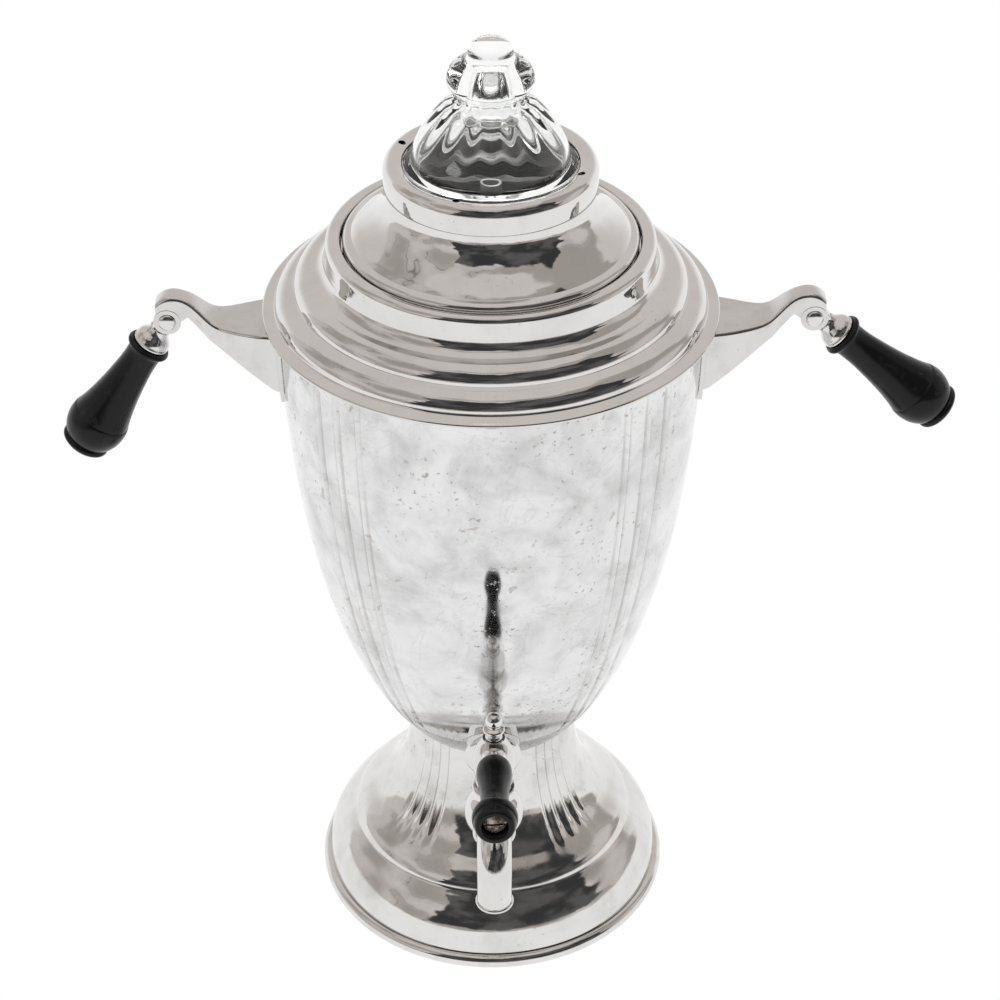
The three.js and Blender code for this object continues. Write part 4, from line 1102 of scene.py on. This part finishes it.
def lever_grip():
    s = LEVER_START
    e = LEVER_END
    return on_lever(turned([
        (2.2, s + 0.3),
        (4.6, s + 0.3, 0.4),
        *curve((5.4, s + 0.8), (7.0, s + 1.6), (7.2, s + 5), (6.7, s + 9.5), 10),
        *curve((6.7, s + 9.5), (6.0, s + 14), (5.2, s + 18), (5.5, e - 14), 12)[1:],
        (5.9, e - 12.4), (6.9, e - 12.0, 0.3), (7.0, e - 11.2, 0.3), (6.8, e - 10.9, 0.2), (7.4, e - 10.4),
        *curve((7.5, e - 10.2), (8.9, e - 8.8), (9.0, e - 6.4), (8.5, e - 4.6), 8),
        (8.1, e - 4.2, 0.2), (8.2, e - 3.5, 0.3),
        *curve((8.1, e - 3.2), (7.9, e - 1.2), (7.3, e), (6.4, e), 6),
        (5.1, e, 0.5), (4.9, e - 5, 0.3), (2.2, e - 5, 0.3),
    ], 80))


def saw_slot(size, turn, height):
    """What a saw takes out of a screw's head."""
    slot = bmesh.new()
    bmesh.ops.create_cube(slot, size=1)
    bmesh.ops.scale(slot, verts=slot.verts, vec=size)
    return carry(slot, Matrix.Rotation(turn, 3, "Z"), (0, 0, height))


def lever_screw():
    head = LEVER_END - 4.9
    screw = turned([
        (0, LEVER_START - 3),
        (2, LEVER_START - 3),
        (2, head),
        (4.3, head, 0.3), (4.45, head + 1.4, 0.3),
        *curve((4.2, head + 1.7), (3.4, head + 2.4), (1.8, head + 2.7), (0, head + 2.75), 8),
    ], 56, closed=False)
    slot = saw_slot((12, 1.0, 2.6), math.radians(4), head + 2.9)
    return on_lever(solid_union("screw", [screw], [slot]))


def worn_steel():
    """Plain steel gone brown in its hollows."""
    finish = Finish("worn_steel")
    rust = finish.noise(300.0, detail=5.0, roughness=0.65).rise(0.40, 0.66)
    grain = finish.noise(900.0, detail=3.0)
    return finish.set(
        Base_Color=finish.blend(rust, (0.47, 0.43, 0.40), (0.13, 0.075, 0.055)),
        Metallic=0.9,
        Roughness=0.38 + rust * 0.3,
        Normal=finish.bump(rust * -0.5 + grain * 0.3, 0.4, 0.0004),
    )


screw_steel = worn_steel()
place("key_bell", key_bell(), bright_chrome, "tap_key", "chrome", ["tap_plug"])
place("key_finial", finial(), bright_chrome, "tap_key", "chrome", ["tap_finial"])
place("key_lever", lever_grip(), black_grip, "tap_key", "black_grip", ["lever_grip"])
place("key_screw", lever_screw(), screw_steel, "tap_key", "plain_steel", ["lever_screw"])

# ---- Lid ------------------------------------------------------------------------------------
# A bell-shaped lid of spun, chromed brass that drops into the neck, with a rolled ring round
# its top. Four small holes in the ring let the steam out.

lid_low, lid_high = span("lid_shell")
ring_low, ring_high = span("lid_ring")
seat_z = lid_low[2] + 8
VENTS = 4
VENT_TURN = math.radians(69)


def lid_shell():
    r = lid_high[0]
    top = lid_high[2]
    skirt = 53.8
    hole = 29.5
    foot = (r - 4.6, seat_z + 6.6)
    side = curve(foot, (r - 14.5, seat_z + 13.6), (39.4, seat_z + 18), (39.0, top - 7), 20)
    return turned([
        (skirt - 1, lid_low[2], 0.3), (skirt, lid_low[2], 0.3), (skirt, seat_z, 0.3),
        *arc(r - 2.4, seat_z + 2.5, 2.4, 2.5, -80, 80, 12),
        (r - 3.4, seat_z + 5.3, 0.5),
        *side,
        (38.3, top, 0.8), (hole, top, 0.4), (hole, top - 1, 0.3), (37.2, top - 1, 0.6),
        *[(p - 1.1, q - 0.9) for p, q in reversed(side)],
        (skirt - 1, seat_z + 3),
    ], 160)


def vent_cutters():
    cutters = []
    for i in range(VENTS):
        bm = turned([(0, 0), (1.45, 0), (1.45, 30), (0, 30)], 20, closed=False)
        angle = VENT_TURN + 2 * math.pi * i / VENTS
        cutters.append(carry(bm, None, (35.6 * math.cos(angle), 35.6 * math.sin(angle), lid_high[2] - 8)))
    return cutters


def lid_ring():
    r = ring_high[0]
    low = ring_low[2]
    top = ring_high[2]
    inner = 33
    outside = [
        (r - 1.2, low, 0.3), (r - 0.3, low, 0.4),
        *curve((r - 0.25, low + 0.6), (r - 0.1, low + 3), (r + 0.02, low + 5), (r, low + 6.4), 6)[1:],
        *arc(r - 3.8, low + 6.6, 3.8, top - low - 6.6, 4, 84, 12),
        *curve((r - 3.6, top), (36.4, top - 0.05), (35.4, top - 0.1), (34.6, top - 0.5), 5),
        *arc(inner + 1.4, top - 2, 1.4, 1.4, 110, 180, 5),
        (inner, lid_high[2] + 0.3),
        (inner + 1, lid_high[2] + 0.3),
        (inner + 1.1, top - 2.2, 0.6), (r - 3.8, top - 1.2, 0.8),
        (r - 1.3, low + 6.4, 1.2),
    ]
    return solid_union("ring", [turned(outside, 160)], vent_cutters())


lid_skin = solid_union("lid", [lid_shell()], vent_cutters())
place("lid_bell", lid_skin, bright_chrome, "lid", "chrome", ["lid_shell"])
place("lid_band", lid_ring(), bright_chrome, "lid", "chrome", ["lid_ring"])

# ---- Glass top ------------------------------------------------------------------------------
# Clear pressed glass: a dome with broad flutes, a waisted neck and a mushroom knob with a
# small stub on top. It is hollow, so that the coffee shows as it pumps.

glass_low, glass_high = span("glass_top")
GLASS_FLUTES = 16


def glass_flutes(angle, r, z):
    foot = glass_low[2] + 8
    neck = glass_high[2] - 24
    on_dome = smooth(foot, neck - 4, z) * (1 - smooth(neck + 1, neck + 4, z))
    return 0.40 * math.cos(angle * GLASS_FLUTES) * on_dome


def glass_top():
    r = glass_high[0]
    low = glass_low[2]
    top = glass_high[2]
    neck = top - 23
    outer = turned([
        (0, low),
        (r, low, 0.5), (r, low + 3.4, 1.0), (r - 2.6, low + 4.6, 0.8),
        *curve((r - 2.8, low + 6), (r - 3.4, low + 13), (r - 10, low + 20), (17.5, neck - 3.6), 24),
        *curve((17.5, neck - 3.6), (14.6, neck - 2.2), (12.9, neck - 1.4), (12.8, neck + 0.4), 6)[1:],
        *curve((12.8, neck + 0.4), (12.9, neck + 3.2), (15.9, neck + 3.6), (16.3, neck + 6.6), 8)[1:],
        *curve((16.3, neck + 6.6), (16.4, neck + 10), (14.4, neck + 13.4), (10, neck + 14.6), 10)[1:],
        *curve((10, neck + 14.6), (8.8, neck + 15.2), (8.5, neck + 16.4), (8.4, neck + 18), 5)[1:],
        *curve((8.4, neck + 18), (8.2, top - 2), (5, top), (0, top), 10)[1:],
    ], 192, closed=False)
    push_out(outer, glass_flutes)
    inner = turned([
        (0, low - 2),
        (r - 5, low - 2),
        (r - 5.2, low + 6),
        *curve((r - 5.4, low + 7), (r - 7, low + 13), (r - 13, low + 18), (13, neck - 5), 20),
        *curve((13, neck - 5), (9.6, neck - 3.5), (8.4, neck - 2), (8.2, neck + 1), 6)[1:],
        *curve((8.2, neck + 1), (8.2, neck + 6), (7.5, neck + 11), (0, neck + 12), 8)[1:],
    ], 128, closed=False)
    return solid_union("glass", [outer], [inner])


def glass_finish():
    """Clear pressed glass, faintly uneven and a little clouded inside."""
    finish = Finish("clear_glass")
    cloud = finish.noise(90.0, detail=4.0).rise(0.5, 0.8)
    ripple = finish.noise(45.0, detail=2.0)
    return finish.set(
        Base_Color=(0.985, 0.99, 0.985),
        Roughness=0.01 + cloud * 0.04,
        IOR=1.5,
        Transmission_Weight=1.0,
        Normal=finish.bump(ripple, 0.25, 0.0008),
    )


place("glass_dome", glass_top(), glass_finish(), "glass", "clear_glass", ["glass_top"], 45)

# ---- Percolator works -----------------------------------------------------------------------
# Spun aluminium: a bell on the tank's floor, a tall tube, a basket for the coffee and a
# perforated spreader over it. They show when the lid is off.


def aluminium_finish():
    """Spun aluminium gone dull, stained by coffee."""
    finish = Finish("satin_aluminium")
    lines = finish.noise(140.0, detail=3.0, stretch=(0.4, 0.4, 8)).rise(0.35, 0.7)
    stain = finish.noise(42.0, detail=6.0, roughness=0.65).rise(0.50, 0.78)
    colour = finish.blend(lines * 0.5, (0.56, 0.56, 0.56), (0.46, 0.46, 0.465))
    colour = finish.blend(stain * 0.7, colour, (0.22, 0.165, 0.125))
    return finish.set(
        Base_Color=colour,
        Metallic=1.0,
        Roughness=0.32 + lines * 0.1 + stain * 0.2,
        Normal=finish.bump(lines, 0.15, 0.0005),
    )


satin_aluminium = aluminium_finish()


def drilled(name, bm, rings, bottom, top):
    """A spun piece with rings of small holes: (circle radius, count, hole radius)."""
    cutters = bmesh.new()
    for circle, count, r in rings:
        for i in range(count):
            angle = 2 * math.pi * (i + 0.5) / count
            bore = turned([(0, bottom), (r, bottom), (r, top), (0, top)], 10, closed=False)
            carry(bore, None, (circle * math.cos(angle), circle * math.sin(angle), 0))
            cutters = merged(cutters, bore)
    return solid_union(name, [bm], [cutters])


def basket():
    low, high = span("basket")
    r = high[0]
    sleeve = 4.4
    cup = turned([
        (sleeve, low[2], 0.3), (r - 3, low[2], 2.0), (r - 0.6, low[2] + 3, 0.6),
        (r - 1, high[2] - 3, 0.5),
        *arc(r - 0.9, high[2] - 0.9, 0.9, 0.9, -70, 160, 10),
        (r - 1.9, high[2] - 3, 0.5), (r - 1.6, low[2] + 3.2, 0.8), (r - 3.8, low[2] + 1, 0.6),
        (sleeve + 1, low[2] + 1, 0.4), (sleeve + 1, low[2] + 12, 0.3), (sleeve, low[2] + 12, 0.3),
    ], 96)
    rings = [(12, 12, 1.1), (18, 18, 1.1), (24, 24, 1.1), (29, 30, 1.1)]
    return drilled("basket_cup", cup, rings, low[2] - 1, low[2] + 1.6)


def spreader():
    low, high = span("spreader")
    r = high[0]
    disc = turned([
        (4.4, high[2] - 1.1),
        *curve((6, high[2] - 1.2), (16, high[2] - 2.2), (26, low[2] + 1.2), (r - 4, low[2] + 0.2), 12),
        (r - 1.2, low[2], 0.3), (r, low[2] + 0.2, 0.4), (r, low[2] + 1.5, 0.5), (r - 1.6, low[2] + 1.5, 0.4),
        *curve((r - 4, low[2] + 1.3), (26, low[2] + 2.3), (16, high[2] - 1.1), (6, high[2] - 0.1), 12),
        (4.4, high[2]),
    ], 96)
    rings = [(12, 12, 1.2), (18, 18, 1.2), (24, 24, 1.2), (30, 30, 1.2)]
    return drilled("spreader_disc", disc, rings, low[2] - 3, high[2] + 3)


def pump_tube():
    low, high = span("pump_tube")
    stop = span("basket")[0][2] - 0.3
    return turned([
        (2.9, low[2], 0.2), (4, low[2], 0.3), (4, stop - 2.4, 0.5),
        *arc(4, stop - 1.2, 2.4, 1.2, -80, 80, 8),
        (4, stop, 0.2), (4, high[2], 0.4), (2.9, high[2], 0.3),
    ], 40)


def pump_bell():
    low, high = span("pump_bell")
    r = high[0]
    side = curve((r - 0.6, low[2] + 2.4), (r - 6, low[2] + 7), (9, low[2] + 6), (4.2, high[2]), 14)
    return turned([
        (r - 1, low[2], 0.2), (r, low[2], 0.4), (r, low[2] + 1.6, 0.4),
        *side,
        (2.9, high[2]),
        *[(max(p - 0.7, 2.9), q - 0.9) for p, q in reversed(side)],
    ], 80)


place("coffee_basket", basket(), satin_aluminium, "pump", "aluminium", ["basket"])
place("coffee_spreader", spreader(), satin_aluminium, "spreader", "aluminium", ["spreader"])
place("riser_tube", pump_tube(), satin_aluminium, "pump", "aluminium", ["pump_tube"])
place("riser_bell", pump_bell(), satin_aluminium, "pump", "aluminium", ["pump_bell"])

# ---- Bottom plate and its screws ------------------------------------------------------------
# A pressed steel plate closes the foot from below. Three slotted screws hold it, in dimples.

plate_high = span("bottom_plate")[1]


def bottom_plate():
    r = plate_high[0]
    rise = 2.6
    return turned([
        (0, 0),
        *curve((28, 0), (31, 0), (31.5, rise), (35, rise), 10),
        (r, rise, 0.4), (r, plate_high[2], 0.3),
        *curve((34.5, plate_high[2]), (31, plate_high[2]), (30.5, 1.2), (27.5, 1.2), 10),
        (0, 1.2),
    ], 128, closed=False)


def steel_finish():
    """Plated steel sheet with rolling marks, dull patches and rust freckles."""
    finish = Finish("plated_steel")
    lines = finish.noise(60.0, detail=4.0, stretch=(1, 14, 1)).rise(0.35, 0.7)
    freckles = finish.noise(150.0, detail=4.0).rise(0.66, 0.74)
    dull = finish.noise(18.0, detail=5.0).rise(0.4, 0.7)
    colour = finish.blend(dull, (0.60, 0.59, 0.57), (0.46, 0.45, 0.43))
    colour = finish.blend(freckles * 0.7, colour, (0.25, 0.14, 0.08))
    return finish.set(
        Base_Color=colour,
        Metallic=1.0,
        Roughness=0.34 + dull * 0.16 + freckles * 0.2,
        Normal=finish.bump(lines * 0.6 + freckles * -0.3, 0.2, 0.0005),
    )


plated_steel = steel_finish()
place("base_plate", bottom_plate(), plated_steel, "body", "plain_steel", ["bottom_plate"])
for number in (1, 2, 3):
    node = f"bottom_screw_{number}"
    low, high = span(node)
    middle = ((low[0] + high[0]) / 2, (low[1] + high[1]) / 2, 0)
    head = low[2] + 1.4
    screw = turned([
        (0, head - 1.4),
        (2.2, head - 1.4, 0.4), (3, head - 0.6, 0.3), (3, head, 0.2),
        (1.5, head),
        (1.5, high[2]),
        (0, high[2]),
    ], 40, closed=False)
    slot = saw_slot((9, 0.8, 1.4), 0.7 * number, head - 1.5)
    bm = carry(solid_union(node, [screw], [slot]), None, middle)
    place(f"base_screw_{number}", bm, plated_steel, "body", "plain_steel", [node])

# ---- Mains inlet ----------------------------------------------------------------------------
# A pressed shroud at the back of the foot, with an insulating block and two round pins.

shroud_low, shroud_high = span("inlet_shroud")
block_low, block_high = span("inlet_block")
inlet_z = (shroud_low[2] + shroud_high[2]) / 2


def slot_outline(half_width, half_height, steps=14):
    """A round-ended slot in X and Z about the inlet's middle."""
    straight = half_width - half_height
    right = arc(straight, inlet_z, half_height, half_height, -90, 90, steps)
    left = arc(-straight, inlet_z, half_height, half_height, 90, 270, steps)
    return right + left


def slot_block(half_width, half_height, back, front, bevel):
    bm = bmesh.new()
    face = bm.faces.new([bm.verts.new((x, back, z)) for x, z in slot_outline(half_width, half_height)])
    grown = bmesh.ops.extrude_face_region(bm, geom=[face])
    bmesh.ops.translate(bm, verts=verts_of(grown), vec=(0, front - back, 0))
    clean(bm)
    return soften(bm, bevel, 3) if bevel else bm


def glazed_finish():
    finish = Finish("glazed_porcelain")
    craze = finish.node("ShaderNodeTexVoronoi", {"feature": "DISTANCE_TO_EDGE"}, Vector=finish.place,
                        Scale=260.0)
    lines = 1 - craze.rise(0.0, 0.04)
    soot = finish.noise(80.0, detail=5.0).rise(0.5, 0.75)
    colour = finish.blend(soot * 0.4, (0.78, 0.74, 0.66), (0.45, 0.40, 0.34))
    colour = finish.blend(lines * 0.25, colour, (0.35, 0.30, 0.25))
    return finish.set(
        Base_Color=colour,
        Roughness=0.22 + soot * 0.3,
        Normal=finish.bump(lines * -1, 0.1, 0.0003),
    )


def brass_finish():
    finish = Finish("dull_brass")
    tarnish = finish.noise(190.0, detail=5.0).rise(0.42, 0.7)
    lines = finish.noise(400.0, detail=2.0, stretch=(1, 8, 1))
    return finish.set(
        Base_Color=finish.blend(tarnish, (0.72, 0.58, 0.30), (0.42, 0.32, 0.17)),
        Metallic=1.0,
        Roughness=0.25 + tarnish * 0.2,
        Normal=finish.bump(lines, 0.1, 0.0003),
    )


def inlet_shroud():
    half_w = (shroud_high[0] - shroud_low[0]) / 2
    half_h = (shroud_high[2] - shroud_low[2]) / 2
    outer = slot_block(half_w, half_h, shroud_low[1], shroud_high[1], 0.7)
    inner = slot_block(half_w - 1.5, half_h - 1.5, shroud_low[1] - 5, shroud_high[1] + 5, 0)
    return solid_union("shroud", [outer], [inner])


def inlet_block():
    half_w = (block_high[0] - block_low[0]) / 2
    half_h = (block_high[2] - block_low[2]) / 2
    return slot_block(half_w, half_h, block_low[1], block_high[1], 0.6)


dull_brass = brass_finish()
place("inlet_cup", inlet_shroud(), plated_steel, "body", "plain_steel", ["inlet_shroud"])
place("inlet_insulator", inlet_block(), glazed_finish(), "body", "porcelain", ["inlet_block"])
for side in SIDES:
    node = f"inlet_pin_{side}"
    low, high = span(node)
    r = (high[0] - low[0]) / 2
    pin = turned([
        (0, low[1]),
        (r, low[1]),
        (r, high[1] - 1.2, 0.8), (r - 0.9, high[1], 0.5),
        (0, high[1]),
    ], 32, closed=False)
    carry(pin, Matrix.Rotation(-math.pi / 2, 3, "X"), ((low[0] + high[0]) / 2, 0, inlet_z))
    place(f"contact_pin_{side}", pin, dull_brass, "body", "brass", [node])

# ---- Hidden works ---------------------------------------------------------------------------
# The heater, its leads, the nuts and the washers keep their plain CAD shapes and get finishes.


def mica_finish():
    finish = Finish("mica_wrap")
    flakes = finish.node("ShaderNodeTexVoronoi", {}, Vector=finish.place, Scale=220.0)
    shade = finish.noise(120.0, detail=4.0)
    colour = finish.blend(flakes.rise(0.1, 0.8), (0.50, 0.44, 0.34), (0.30, 0.25, 0.19))
    return finish.set(Base_Color=colour, Roughness=0.4 + shade * 0.3, Normal=finish.bump(flakes, 0.2, 0.0004))


def braid_finish():
    finish = Finish("braided_sleeve")
    weave = finish.node("ShaderNodeTexWave", {"bands_direction": "DIAGONAL"}, Vector=finish.place,
                        Scale=420.0, Distortion=1.5, output=1)
    return finish.set(
        Base_Color=finish.blend(weave, (0.38, 0.34, 0.29), (0.20, 0.18, 0.15)),
        Roughness=0.9,
        Normal=finish.bump(weave, 0.5, 0.0005),
    )


hidden = {
    "heater_element": mica_finish(),
    "heater_clamp": plated_steel,
    "heater_stud": plated_steel,
    "heater_nut": dull_brass,
    "thermal_cutout": glazed_finish(),
    "tap_saddle_washer": satin_aluminium,
    "tap_nut": dull_brass,
    "plug_washer": dull_brass,
    "plug_nut": dull_brass,
}
braided_sleeve = braid_finish()
hidden.update({f"lead_{side}": braided_sleeve for side in SIDES})
for node, finish in hidden.items():
    for slot in frame["nodes"][node].material_slots:
        slot.material = finish
